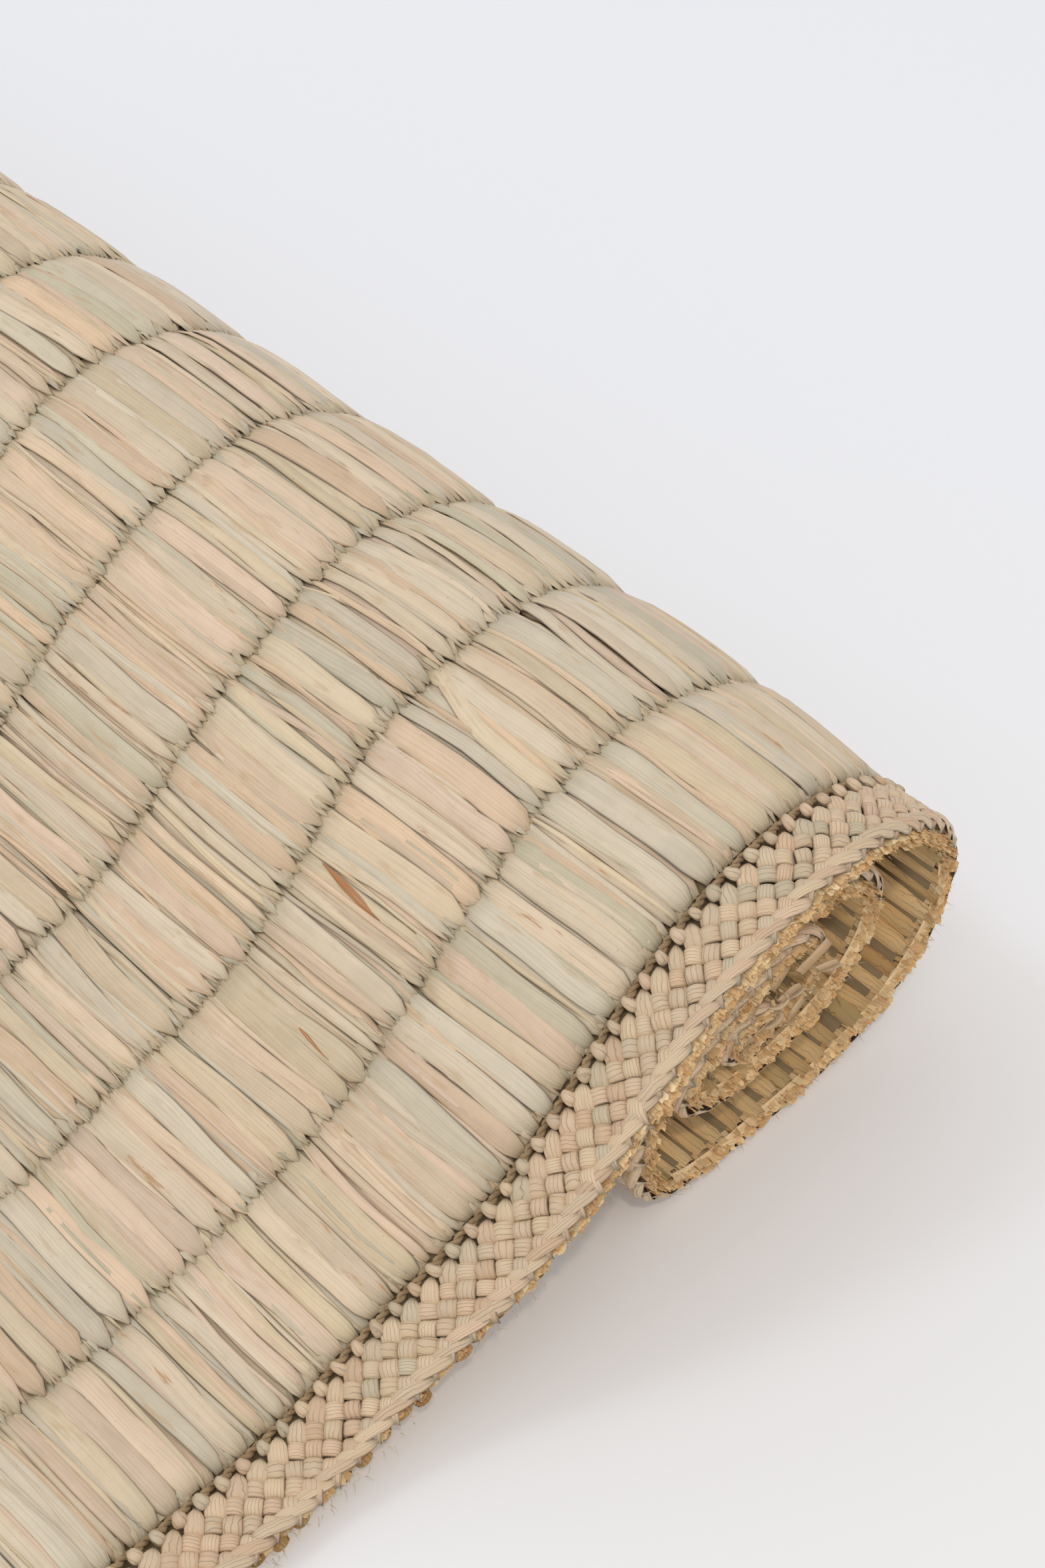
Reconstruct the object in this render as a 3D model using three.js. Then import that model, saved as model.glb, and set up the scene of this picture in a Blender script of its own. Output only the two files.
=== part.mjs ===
import * as THREE from 'three';

// Rolled grass mat: rush bundles twined in rows, with a plaited border along both side edges.
// Millimetres, +Z up. +X runs from the flat tail towards the roll, +Y away from the near border.

// Rows of twining and the cells between them, across the mat's width
const CELL_PITCH = 77;
const CELL_COUNT = 11;
const BORDER_WIDTH = 31;
const INNER_WIDTH = CELL_PITCH * CELL_COUNT;
const MAT_WIDTH = INNER_WIDTH + 2 * BORDER_WIDTH;

// Thickness of the rush, measured to each side of the cloth's middle
const HALF = 6.9;
const CORE_HALF = 5.4;
const CORE_LENGTH = 150;
const CORE_EASE = 50;
const ROW_HALF = 4.7;

// Border: the rush is thinner here and the plait lies on its outer face
const SEAT_OUTER = 1.2;
const SEAT_INNER = 5.6;
const GAP = 0.3;
const PLAIT_INSET = 3.4;
const PLAIT_OVERHANG = 0.6;
const PLAIT_CROWN = 6.7;

// Jute twine that lies in the groove between the plait and the bundle ends
const TWINE_RADIUS = 1.25;
const TWINE_SIDES = 8;
const TWINE_FROM_ROW = 1.6;

// Flat tail that lies on the surface, and the short straight end inside the roll
const TAIL_FLAT = 370;
const CORE_END = 15;

// Points of the cloth's middle at each quarter turn, from the tail inwards. The name of a side
// gives the direction of travel there. lead and trail are how far, as a share of the quarter's
// own width or height, the cloth keeps its direction after the row's point and before the next.
const WINDING = [
  { side: 'top', x: -150, z: HALF, lead: 0.4, trail: 0.32 },
  { side: 'top', x: 117, z: 127, lead: 0.48, trail: 0.6 },
  { side: 'right', x: 194, z: 63, lead: 0.2, trail: 0.9 },
  { side: 'bottom', x: 107, z: HALF, lead: 0.33, trail: 0.33 },
  { side: 'bottom', x: 80, z: HALF, lead: 0.55, trail: 0.85 },
  { side: 'left', x: 32, z: 40, lead: 0.7, trail: 0.3 },
  { side: 'top', x: 114, z: 111.5, lead: 0.55, trail: 0.6 },
  { side: 'right', x: 149, z: 84, lead: 0.6, trail: 0.55 },
  { side: 'bottom', x: 86, z: 43, lead: 0.6, trail: 0.65 },
  { side: 'left', x: 53, z: 60, lead: 0.4, trail: 0.2 },
  { side: 'top', x: 105, z: 96, lead: 0.55, trail: 0.6 },
  { side: 'right', x: 120, z: 81, lead: 0.6, trail: 0.5 },
  { side: 'bottom', x: 82.5, z: 57.5, lead: 0.55, trail: 0.55 },
  { side: 'left', x: 75, z: 65, lead: 0.55, trail: 0.55 },
  { side: 'top', x: 82.5, z: 72.5, lead: 0, trail: 0 },
];

const TRAVEL = {
  top: new THREE.Vector2(1, 0),
  right: new THREE.Vector2(0, -1),
  bottom: new THREE.Vector2(-1, 0),
  left: new THREE.Vector2(0, 1),
};

// Height of the rush across one cell, as a share of its full swell over the twined row
const CELL_PROFILE = [
  { across: 0, swell: 0 },
  { across: 0.2, swell: 1 },
  { across: 0.8, swell: 1 },
];

// Rise of the gathered bundle ends beside the twine, measured from the end row
const STUMP_PROFILE = [
  { across: 0.3, outer: SEAT_OUTER, inner: SEAT_INNER },
  { across: 1.6, outer: 5.4, inner: SEAT_INNER },
  { across: 12, outer: HALF, inner: HALF },
];

// Section of the plait: how far in from the mat's edge, and how far out from the cloth's middle
const PLAIT_SECTION = [
  { inset: -PLAIT_OVERHANG, out: SEAT_OUTER + GAP + 0.9 },
  { inset: 1, out: SEAT_OUTER + GAP },
  { inset: BORDER_WIDTH - PLAIT_INSET, out: SEAT_OUTER + GAP },
  { inset: BORDER_WIDTH - PLAIT_INSET, out: 4.4 },
  { inset: BORDER_WIDTH - PLAIT_INSET - 2.6, out: 6 },
  { inset: 16, out: PLAIT_CROWN },
  { inset: 4, out: 6.3 },
  { inset: 0.4, out: 5.2 },
];

// How closely the faceted cloth follows its curve
const FINE_STEP = 1;
const MAX_STEP = 60;
const MAX_BEND = THREE.MathUtils.degToRad(14.5);
const CORE_BEND = THREE.MathUtils.degToRad(19);

const FINISH = {
  rush: { color: 0xd8c6a4, roughness: 0.72, metalness: 0 },
  plait: { color: 0xcfb88f, roughness: 0.75, metalness: 0 },
  twine: { color: 0xa98a62, roughness: 0.9, metalness: 0 },
};

function quarterCurve(from, to) {
  const start = new THREE.Vector2(from.x, from.z);
  const end = new THREE.Vector2(to.x, to.z);
  const span = end.clone().sub(start);
  const leaving = TRAVEL[from.side];
  const arriving = TRAVEL[to.side];
  const leadLength = Math.abs(span.dot(leaving)) * from.lead;
  const trailLength = Math.abs(span.dot(arriving)) * from.trail;
  const leadPoint = start.clone().addScaledVector(leaving, leadLength);
  const trailPoint = end.clone().addScaledVector(arriving, -trailLength);
  return new THREE.CubicBezierCurve(start, leadPoint, trailPoint, end);
}

function clothPath() {
  const path = new THREE.CurvePath();
  const first = WINDING[0];
  const last = WINDING[WINDING.length - 1];
  const tailEnd = new THREE.Vector2(first.x - TAIL_FLAT, first.z);
  path.add(new THREE.LineCurve(tailEnd, new THREE.Vector2(first.x, first.z)));
  for (let i = 0; i + 1 < WINDING.length; i += 1) {
    path.add(quarterCurve(WINDING[i], WINDING[i + 1]));
  }
  const coreStart = new THREE.Vector2(last.x, last.z);
  const coreEnd = coreStart.clone().addScaledVector(TRAVEL[last.side], CORE_END);
  path.add(new THREE.LineCurve(coreStart, coreEnd));
  return path;
}

// Walks the curve in fine steps and keeps a station wherever the cloth has bent enough
function clothStations() {
  const path = clothPath();
  const length = path.getLength();
  const count = Math.round(length / FINE_STEP);
  path.arcLengthDivisions = count;
  const fine = path.getSpacedPoints(count);
  const heading = (i) => {
    const before = fine[Math.max(0, i - 1)];
    const after = fine[Math.min(fine.length - 1, i + 1)];
    return after.clone().sub(before).normalize();
  };
  const stations = [];
  let kept = heading(0);
  let keptAt = 0;
  const keep = (i) => {
    kept = heading(i);
    keptAt = i;
    const s = (i / (fine.length - 1)) * length;
    const core = THREE.MathUtils.smoothstep(s, length - CORE_LENGTH - CORE_EASE, length - CORE_LENGTH);
    const full = THREE.MathUtils.lerp(HALF, CORE_HALF, core);
    const normal = new THREE.Vector2(-kept.y, kept.x);
    stations.push({ point: fine[i], normal, scale: full / HALF });
  };
  keep(0);
  for (let i = 1; i < fine.length - 1; i += 1) {
    const bend = Math.acos(THREE.MathUtils.clamp(kept.dot(heading(i)), -1, 1));
    const nearCore = i / fine.length > 1 - (CORE_LENGTH + CORE_EASE) / length;
    const limit = nearCore ? CORE_BEND : MAX_BEND;
    if (bend >= limit || (i - keptAt) * FINE_STEP >= MAX_STEP) {
      keep(i);
    }
  }
  keep(fine.length - 1);
  return stations;
}

// Rows across the mat, each with how far the rush stands out and in from the cloth's middle
function widthRows() {
  const half = MAT_WIDTH / 2;
  const inner = INNER_WIDTH / 2;
  const rows = [{ y: -half, outer: SEAT_OUTER, inner: SEAT_INNER }];
  for (const { across, outer, inner: under } of STUMP_PROFILE) {
    rows.push({ y: -inner + across, outer, inner: under });
  }
  for (let cell = 0; cell < CELL_COUNT; cell += 1) {
    for (const { across, swell } of CELL_PROFILE) {
      const y = -inner + (cell + across) * CELL_PITCH;
      const thick = THREE.MathUtils.lerp(ROW_HALF, HALF, swell);
      const clearOfStumps = Math.abs(y) < inner - CELL_PITCH * CELL_PROFILE[1].across - 1;
      if (clearOfStumps) {
        rows.push({ y, outer: thick, inner: thick });
      }
    }
  }
  for (const { across, outer, inner: under } of [...STUMP_PROFILE].reverse()) {
    rows.push({ y: inner - across, outer, inner: under });
  }
  rows.push({ y: half, outer: SEAT_OUTER, inner: SEAT_INNER });
  return rows;
}

function placeAt(station, y, out) {
  const reach = out * station.scale;
  const x = station.point.x + station.normal.x * reach;
  const z = station.point.y + station.normal.y * reach;
  return [x, y, z];
}

// Sweeps a closed loop of section points along the stations and closes both ends
function sweptSolid(stations, section) {
  const positions = [];
  for (const station of stations) {
    for (const { y, out } of section) {
      positions.push(...placeAt(station, y, out));
    }
  }
  const ring = section.length;
  const index = [];
  for (let i = 0; i + 1 < stations.length; i += 1) {
    for (let j = 0; j < ring; j += 1) {
      const a = i * ring + j;
      const b = i * ring + ((j + 1) % ring);
      index.push(a, b, b + ring, a, b + ring, a + ring);
    }
  }
  const outline = section.map(({ y, out }) => new THREE.Vector2(y, out));
  const last = (stations.length - 1) * ring;
  for (const [a, b, c] of THREE.ShapeUtils.triangulateShape(outline, [])) {
    index.push(a, c, b);
    index.push(last + a, last + b, last + c);
  }
  const geometry = new THREE.BufferGeometry();
  geometry.setAttribute('position', new THREE.Float32BufferAttribute(positions, 3));
  geometry.setIndex(index);
  geometry.computeVertexNormals();
  return geometry;
}

function rushSection() {
  const rows = widthRows();
  const underside = rows.map(({ y, inner }) => ({ y, out: -inner }));
  const face = rows.map(({ y, outer }) => ({ y, out: outer })).reverse();
  return [...underside, ...face];
}

function plaitSection(side) {
  const edge = MAT_WIDTH / 2;
  const section = PLAIT_SECTION.map(({ inset, out }) => ({ y: side * (edge - inset), out }));
  return side < 0 ? section : section.reverse();
}

function twineSection(side) {
  const middle = side * (INNER_WIDTH / 2 + TWINE_FROM_ROW);
  const lift = SEAT_OUTER + GAP + TWINE_RADIUS;
  const section = [];
  for (let k = 0; k < TWINE_SIDES; k += 1) {
    const angle = ((k + 0.5) / TWINE_SIDES) * 2 * Math.PI;
    section.push({ y: middle + TWINE_RADIUS * Math.cos(angle), out: lift + TWINE_RADIUS * Math.sin(angle) });
  }
  return section;
}

function namedMesh(name, geometry, finish) {
  const mesh = new THREE.Mesh(geometry, new THREE.MeshStandardMaterial(finish));
  mesh.name = name;
  return mesh;
}

function rolledMat() {
  const stations = clothStations();
  const mat = new THREE.Group();
  mat.name = 'rolled_grass_mat';
  mat.add(namedMesh('rush_body', sweptSolid(stations, rushSection()), FINISH.rush));
  for (const [label, side] of [['near', -1], ['far', 1]]) {
    mat.add(namedMesh(`plait_border_${label}`, sweptSolid(stations, plaitSection(side)), FINISH.plait));
    mat.add(namedMesh(`jute_twine_${label}`, sweptSolid(stations, twineSection(side)), FINISH.twine));
  }
  const box = new THREE.Box3().setFromObject(mat);
  mat.position.x = -(box.min.x + box.max.x) / 2;
  mat.position.z = -box.min.z;
  return mat;
}

export default rolledMat();
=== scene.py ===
"""A rolled rush mat: every leaf, knot, plait strand and cut end laid out flat and wound on the cloth."""
import logging
import math
from dataclasses import dataclass, field
from enum import Enum
from typing import Optional, Union

import bpy
import numpy as np
from mathutils import Matrix, Vector

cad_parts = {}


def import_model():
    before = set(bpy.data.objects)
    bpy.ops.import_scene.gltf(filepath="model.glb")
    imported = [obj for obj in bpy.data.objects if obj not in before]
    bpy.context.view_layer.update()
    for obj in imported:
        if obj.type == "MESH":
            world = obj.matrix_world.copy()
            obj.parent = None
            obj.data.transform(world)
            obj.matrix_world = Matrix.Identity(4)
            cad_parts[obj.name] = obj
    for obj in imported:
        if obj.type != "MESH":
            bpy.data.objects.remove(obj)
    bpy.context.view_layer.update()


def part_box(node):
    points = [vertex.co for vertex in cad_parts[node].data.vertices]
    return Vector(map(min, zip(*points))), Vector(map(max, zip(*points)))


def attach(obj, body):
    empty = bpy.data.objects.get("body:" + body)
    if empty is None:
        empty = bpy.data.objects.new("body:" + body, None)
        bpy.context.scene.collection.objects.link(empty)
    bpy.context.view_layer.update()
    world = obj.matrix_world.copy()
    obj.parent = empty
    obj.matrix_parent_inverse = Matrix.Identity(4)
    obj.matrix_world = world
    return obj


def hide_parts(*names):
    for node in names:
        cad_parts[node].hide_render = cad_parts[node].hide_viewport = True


LOG = logging.getLogger("rolled_mat")
MM = 0.001
Array = np.ndarray
Each = Union[float, Array]
Triple = tuple[float, float, float]
Colour = Triple


class Side(Enum):
    """The side of the roll that a quarter turn passes, with the way that the cloth travels there."""

    TOP = (1.0, 0.0)
    RIGHT = (0.0, -1.0)
    BOTTOM = (-1.0, 0.0)
    LEFT = (0.0, 1.0)


class Border(Enum):
    """One of the two plaited side borders, with the sign of its place along Y."""

    NEAR = -1
    FAR = 1

    @property
    def label(self) -> str:
        """The word that node and piece names use."""
        return self.name.lower()


@dataclass(frozen=True)
class QuarterTurn:
    """A point of the cloth's middle, in millimetres, and how long the cloth keeps its direction there."""

    side: Side
    x: float
    z: float
    lead: float
    trail: float


HALF = 6.9
WINDING = (
    QuarterTurn(Side.TOP, -150, HALF, 0.4, 0.32),
    QuarterTurn(Side.TOP, 117, 127, 0.48, 0.6),
    QuarterTurn(Side.RIGHT, 194, 63, 0.2, 0.9),
    QuarterTurn(Side.BOTTOM, 107, HALF, 0.33, 0.33),
    QuarterTurn(Side.BOTTOM, 80, HALF, 0.55, 0.85),
    QuarterTurn(Side.LEFT, 32, 40, 0.7, 0.3),
    QuarterTurn(Side.TOP, 114, 111.5, 0.55, 0.6),
    QuarterTurn(Side.RIGHT, 149, 84, 0.6, 0.55),
    QuarterTurn(Side.BOTTOM, 86, 43, 0.6, 0.65),
    QuarterTurn(Side.LEFT, 53, 60, 0.4, 0.2),
    QuarterTurn(Side.TOP, 105, 96, 0.55, 0.6),
    QuarterTurn(Side.RIGHT, 120, 81, 0.6, 0.5),
    QuarterTurn(Side.BOTTOM, 82.5, 57.5, 0.55, 0.55),
    QuarterTurn(Side.LEFT, 75, 65, 0.55, 0.55),
    QuarterTurn(Side.TOP, 82.5, 72.5, 0.0, 0.0),
)


@dataclass(frozen=True)
class Slide:
    """A stretch of the mat's length over which its edges slide sideways, in millimetres."""

    start: float
    stop: float
    shift: float


SLIDES = (
    Slide(120, 300, -4.0),
    Slide(430, 520, -8.0),
    Slide(520, 640, 6.0),
    Slide(640, 800, 6.0),
)


@dataclass
class MatSizes:
    """The mat's driving sizes in millimetres."""

    cell_widths: tuple[float, ...] = (66.9, 71.2, 70.0, 80.8, 77.1, 76.2, 79.8, 81.0, 81.5, 81.0, 81.5)
    border_width: float = 31.0
    half: float = HALF
    core_half: float = 5.4
    core_length: float = 150.0
    core_ease: float = 50.0
    seat_outer: float = 1.2
    seat_inner: float = 5.6
    tail_flat: float = 370.0
    core_end: float = 15.0
    bundle_pitch: float = 9.3
    shown_length: float = 1010.0
    loosened: float = 4.6
    loosened_inset: float = 90.0
    loosening: tuple[float, float] = (480.0, 630.0)
    tightening: tuple[float, float] = (760.0, 880.0)
    floor_clear: float = 0.1

    @property
    def inner_width(self) -> float:
        """The width between the two end rows."""
        return sum(self.cell_widths)

    @property
    def width(self) -> float:
        """The whole width with both borders."""
        return self.inner_width + 2 * self.border_width

    @property
    def rows(self) -> Array:
        """The places of the twined rows across the mat."""
        return np.cumsum((0.0, *self.cell_widths)) - self.inner_width / 2


@dataclass
class ClothPath:
    """The line that the cloth's middle follows, from the tail's end to the core."""

    sizes: MatSizes
    shift: float
    samples: int = 90
    points: Array = field(init=False)
    length: float = field(init=False)

    def __post_init__(self) -> None:
        """Works out the line's points in millimetres and its length."""
        first, last = WINDING[0], WINDING[-1]
        parts = [np.array([[first.x - self.sizes.tail_flat, first.z]])]
        for here, there in zip(WINDING[:-1], WINDING[1:]):
            parts.append(self.quarter(here, there))
        core = [[last.x, last.z], [last.x + self.sizes.core_end, last.z]]
        parts.append(np.array(core))
        self.points = np.vstack(parts)
        self.points[:, 0] += self.shift
        steps = np.hypot(*np.diff(self.points, axis=0).T)
        self.length = float(steps.sum())

    def quarter(self, here: QuarterTurn, there: QuarterTurn) -> Array:
        """Works out one quarter turn.

        Args:
            here: The row that the quarter starts from.
            there: The row that it reaches.

        Returns:
            The quarter's points, without the last one.
        """
        start, end = np.array([here.x, here.z]), np.array([there.x, there.z])
        leaving, arriving = np.array(here.side.value), np.array(there.side.value)
        lead = start + leaving * abs((end - start) @ leaving) * here.lead
        trail = end - arriving * abs((end - start) @ arriving) * here.trail
        t = np.linspace(0, 1, self.samples, endpoint=False)[:, None]
        return (
            (1 - t) ** 3 * start
            + 3 * (1 - t) ** 2 * t * lead
            + 3 * (1 - t) * t**2 * trail
            + t**3 * end
        )

    def guide(self) -> bpy.types.Object:
        """Makes the curve that the winding tree samples.

        Returns:
            A poly curve in metres, removed again before the end.
        """
        curve = bpy.data.curves.new("winding_guide", "CURVE")
        curve.dimensions = "3D"
        spline = curve.splines.new("POLY")
        spline.points.add(len(self.points) - 1)
        rows = np.zeros((len(self.points), 4))
        rows[:, 0] = self.points[:, 0] * MM
        rows[:, 2] = self.points[:, 1] * MM
        spline.points.foreach_set("co", rows.ravel())
        guide = bpy.data.objects.new("winding_guide", curve)
        bpy.context.scene.collection.objects.link(guide)
        return guide


@dataclass
class FlatMesh:
    """Faces laid out on the unrolled cloth: along it, across it and out from its middle, in millimetres."""

    points: Array
    faces: Array
    uv: Array
    marks: dict[str, Array]

    @staticmethod
    def join(parts: list["FlatMesh"]) -> "FlatMesh":
        """Joins several layouts into one."""
        offsets = np.cumsum([0] + [len(p.points) for p in parts[:-1]])
        return FlatMesh(
            np.vstack([p.points for p in parts]),
            np.vstack([p.faces + o for p, o in zip(parts, offsets)]),
            np.vstack([p.uv for p in parts]),
            {k: np.concatenate([p.marks[k] for p in parts]) for k in parts[0].marks},
        )

    def mesh(self, name: str) -> bpy.types.Mesh:
        """Builds the Blender mesh, in metres, with its UV map and marks.

        Args:
            name: The mesh's name.

        Returns:
            The mesh, smooth shaded.
        """
        made = bpy.data.meshes.new(name)
        made.from_pydata((self.points * MM).tolist(), [], self.faces.tolist())
        layer = made.uv_layers.new(name="leaf_map")
        corners = self.faces.ravel()
        layer.data.foreach_set("uv", self.uv[corners].ravel())
        for key, values in self.marks.items():
            mark = made.attributes.new(key, "FLOAT", "POINT")
            mark.data.foreach_set("value", np.ascontiguousarray(values, dtype=np.float32))
        made.shade_smooth()
        return made


def strip_faces(strips: int, rows: int, columns: int) -> Array:
    """Numbers the quads of many grids that lie one after another.

    Args:
        strips: How many grids there are.
        rows: Points along each grid.
        columns: Points across each grid.

    Returns:
        An array of quads.
    """
    i, j = np.meshgrid(np.arange(rows - 1), np.arange(columns - 1), indexing="ij")
    corner = (i * columns + j).ravel()
    quads = np.stack([corner, corner + 1, corner + columns + 1, corner + columns], axis=1)
    starts = np.arange(strips) * rows * columns
    return (quads[None, :, :] + starts[:, None, None]).reshape(-1, 4)


def tube_faces(rings: int, sides: int) -> Array:
    """Numbers the quads of a tube, ring by ring."""
    i, j = np.meshgrid(np.arange(rings - 1), np.arange(sides), indexing="ij")
    a, b = (i * sides + j).ravel(), (i * sides + (j + 1) % sides).ravel()
    return np.stack([a, b, b + sides, a + sides], axis=1)


def grids(
    shape: tuple[int, int, int],
    places: tuple[Array, ...],
    uv: tuple[Array, ...],
    marks: dict[str, Each],
    turned: bool = False,
) -> FlatMesh:
    """Makes a layout of equal grids that lie one after another.

    Args:
        shape: How many grids there are, and their points along and across.
        places: The points' places along and across the mat, and their heights.
        uv: Their places on the leaf map.
        marks: The values that the finishes read.
        turned: Whether the faces look the other way.

    Returns:
        The layout.
    """
    points = np.stack([np.broadcast_to(a, shape) for a in places], axis=-1).reshape(-1, 3)
    leaf_map = np.stack([np.broadcast_to(a, shape) for a in uv], axis=-1).reshape(-1, 2)
    flat = {key: np.broadcast_to(a, shape).reshape(-1) for key, a in marks.items()}
    faces = strip_faces(*shape)
    return FlatMesh(points, faces[:, ::-1] if turned else faces, leaf_map, flat)


def point_mesh(name: str, places: Array) -> bpy.types.Mesh:
    """Makes a mesh of loose points from places in millimetres."""
    mesh = bpy.data.meshes.new(name)
    mesh.from_pydata((places * MM).tolist(), [], [])
    return mesh


def rounded(distance: Array, reach: Each, power: float = 0.5) -> Array:
    """Rises from 0 to 1 like the end of a finger over the given reach."""
    share = np.clip(distance / reach, 0, 1)
    return (1 - (1 - share) ** 2) ** power


def eased(value: Array, low: Each, high: Each) -> Array:
    """Rises smoothly from 0 at low to 1 at high."""
    share = np.clip((value - low) / (high - low), 0, 1)
    return share * share * (3 - 2 * share)


def column(values: Each) -> Each:
    """Gives each leaf's value a place of its own beside the points of its grid."""
    return values[:, None, None] if isinstance(values, np.ndarray) else values


def from_ends(count: int) -> Array:
    """Spaces values from 0 to 1 along a grid, closer together at both ends."""
    u = np.linspace(-1, 1, count)
    return (0.5 + 0.5 * np.sign(u) * (1 - (1 - np.abs(u)) ** 1.9))[None, :, None]


def from_edges(count: int) -> Array:
    """Spaces values from -1 to 1 across a grid, closer together at both edges."""
    return np.sin(0.5 * np.pi * np.linspace(-1, 1, count))[None, None, :]


@dataclass
class Draws:
    """Random values, one for each leaf of a layout."""

    rng: np.random.Generator
    count: int

    def around(self, spread: float, middle: float = 0.0) -> Array:
        """Draws values around a middle one."""
        return column(self.rng.normal(middle, spread, self.count))

    def between(self, low: float, high: float) -> Array:
        """Draws values evenly between two."""
        return column(self.rng.uniform(low, high, self.count))

    def phase(self) -> Array:
        """Draws where a wave begins."""
        return self.between(0, 2 * np.pi)


@dataclass
class LeafEnds:
    """How leaves finish at one side of their cell, in millimetres, a value for all or one for each."""

    s: Array
    y: Array
    height: Each
    tip: Each = 0.1
    pinch: Each = 0.62
    point: Each = 5.0
    taper: Each = 14.0
    rise: Each = 9.0
    flat: float = 0.0

    def narrowing(self, gap: Array) -> Array:
        """Works out the share of the full width at a distance from the end."""
        tip, pinch, point = column(self.tip), column(self.pinch), column(self.point)
        pointed = tip + (pinch - tip) * np.clip(gap / point, 0, 1)
        return pointed + (1 - pinch) * eased(gap, 0.4 * point, column(self.taper))

    def lifting(self, gap: Array, out: Array) -> Array:
        """Brings a height down to this end's own height."""
        low = column(self.height)
        return low + (out - low) * rounded(np.maximum(gap - self.flat, 0), column(self.rise), 0.75)


@dataclass
class LeafBatch:
    """Leaves of one kind, in millimetres, a value for all or one for each."""

    near: LeafEnds
    far: LeafEnds
    half_width: Each
    shift: Each
    lift: Each
    tilt: Each
    tone: Array
    hue: Array
    face: float = 1.0
    swell: float = 6.1
    pillow: float = 1.7
    crown: float = 0.35
    edge_drop: float = 0.75
    fold_depth: float = 0.3
    end_reach: float = 13.0
    map_scale: float = 0.1

    def lay(self, rows: int, columns: int, rng: np.random.Generator) -> FlatMesh:
        """Lays the leaves out flat.

        Args:
            rows: Points along each leaf.
            columns: Points across each leaf.
            rng: The source of the small bends.

        Returns:
            The leaves as one layout.
        """
        draws = Draws(rng, len(self.tone))
        t, v = from_ends(rows), from_edges(columns)
        span = column(self.far.y - self.near.y)
        near_gap, far_gap = span * t, span * (1 - t)
        waist = 1 + draws.around(0.08) * np.sin(np.pi * t * 1.7 + draws.phase())
        half = column(self.half_width) * self.near.narrowing(near_gap)
        half = half * self.far.narrowing(far_gap) * waist
        ease = t * t * (3 - 2 * t)
        middle = column(self.near.s) + column(self.far.s - self.near.s) * ease
        middle = middle + column(self.shift) * np.sin(np.pi * t) ** 0.7
        middle = middle + draws.around(0.45) * np.sin(2 * np.pi * t + draws.phase()) * np.sin(np.pi * t)
        out = self.swell + self.pillow * np.sin(np.pi * t) ** 0.8 + column(self.lift)
        out = out + draws.around(0.28) * np.cos(np.pi * t * 2.3 + draws.phase())
        out = self.far.lifting(far_gap, self.near.lifting(near_gap, out))
        # The end mark falls to 0 at both ends of each leaf, where the finish paints shade and tints the
        # tips green.
        nearest = np.minimum(near_gap, np.maximum(far_gap - self.far.flat, 0))
        close = np.clip(nearest / self.end_reach, 0, 1)
        fold = (1 - close) * np.clip(near_gap / 3.0, 0, 1) * self.fold_depth
        fold = fold * np.cos(2.0 * np.pi * v + draws.phase())
        out = out - self.crown * v**2 - self.edge_drop * np.abs(v) ** 7 + fold
        out = out + column(self.tilt) * v * half
        y = column(self.near.y) + span * t
        jump = draws.between(0, 40)
        across = v * column(self.half_width) * self.map_scale + jump
        along = (y - column(self.near.y)) * self.map_scale + jump * 3.7
        tone, hue = column(self.tone), column(self.hue)
        marks = {"tone": tone, "hue": hue, "end": close, "vein": across, "side": v}
        places = (middle + v * half, y, self.face * out)
        return grids((draws.count, rows, columns), places, (across, along), marks, self.face > 0)


Value = Union[float, int, bool, tuple, str, "Term", bpy.types.NodeSocket, bpy.types.ID, None]


@dataclass
class Term:
    """A socket in an expression: arithmetic on it adds Math nodes to its tree."""

    graph: "Graph"
    socket: bpy.types.NodeSocket

    def maths(self, operation: str, *others: Value) -> "Term":
        """Adds one Math node.

        Args:
            operation: The node's operation.
            others: The values or terms after this one.

        Returns:
            The node's result.
        """
        values = dict(enumerate((self, *others)))
        return self.graph.term("ShaderNodeMath", values, operation=operation)

    def __add__(self, other: Value) -> "Term":
        """Adds."""
        return self.maths("ADD", other)

    def __sub__(self, other: Value) -> "Term":
        """Subtracts."""
        return self.maths("SUBTRACT", other)

    def __rsub__(self, other: Value) -> "Term":
        """Subtracts from a number."""
        return (self * -1.0).maths("ADD", other)

    def __mul__(self, other: Value) -> "Term":
        """Multiplies."""
        return self.maths("MULTIPLY", other)

    def __truediv__(self, other: Value) -> "Term":
        """Divides."""
        return self.maths("DIVIDE", other)

    def __pow__(self, other: Value) -> "Term":
        """Raises to a power."""
        return self.maths("POWER", other)

    __radd__ = __add__
    __rmul__ = __mul__

    def clipped(self) -> "Term":
        """Keeps the value from 0 to 1."""
        return self.maths("MINIMUM", 1.0).maths("MAXIMUM", 0.0)

    def between(self, low: float, high: float) -> "Term":
        """Rises smoothly from 0 at low to 1 at high."""
        values = {0: self, 1: low, 2: high}
        return self.graph.term("ShaderNodeMapRange", values, interpolation_type="SMOOTHSTEP")


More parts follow.
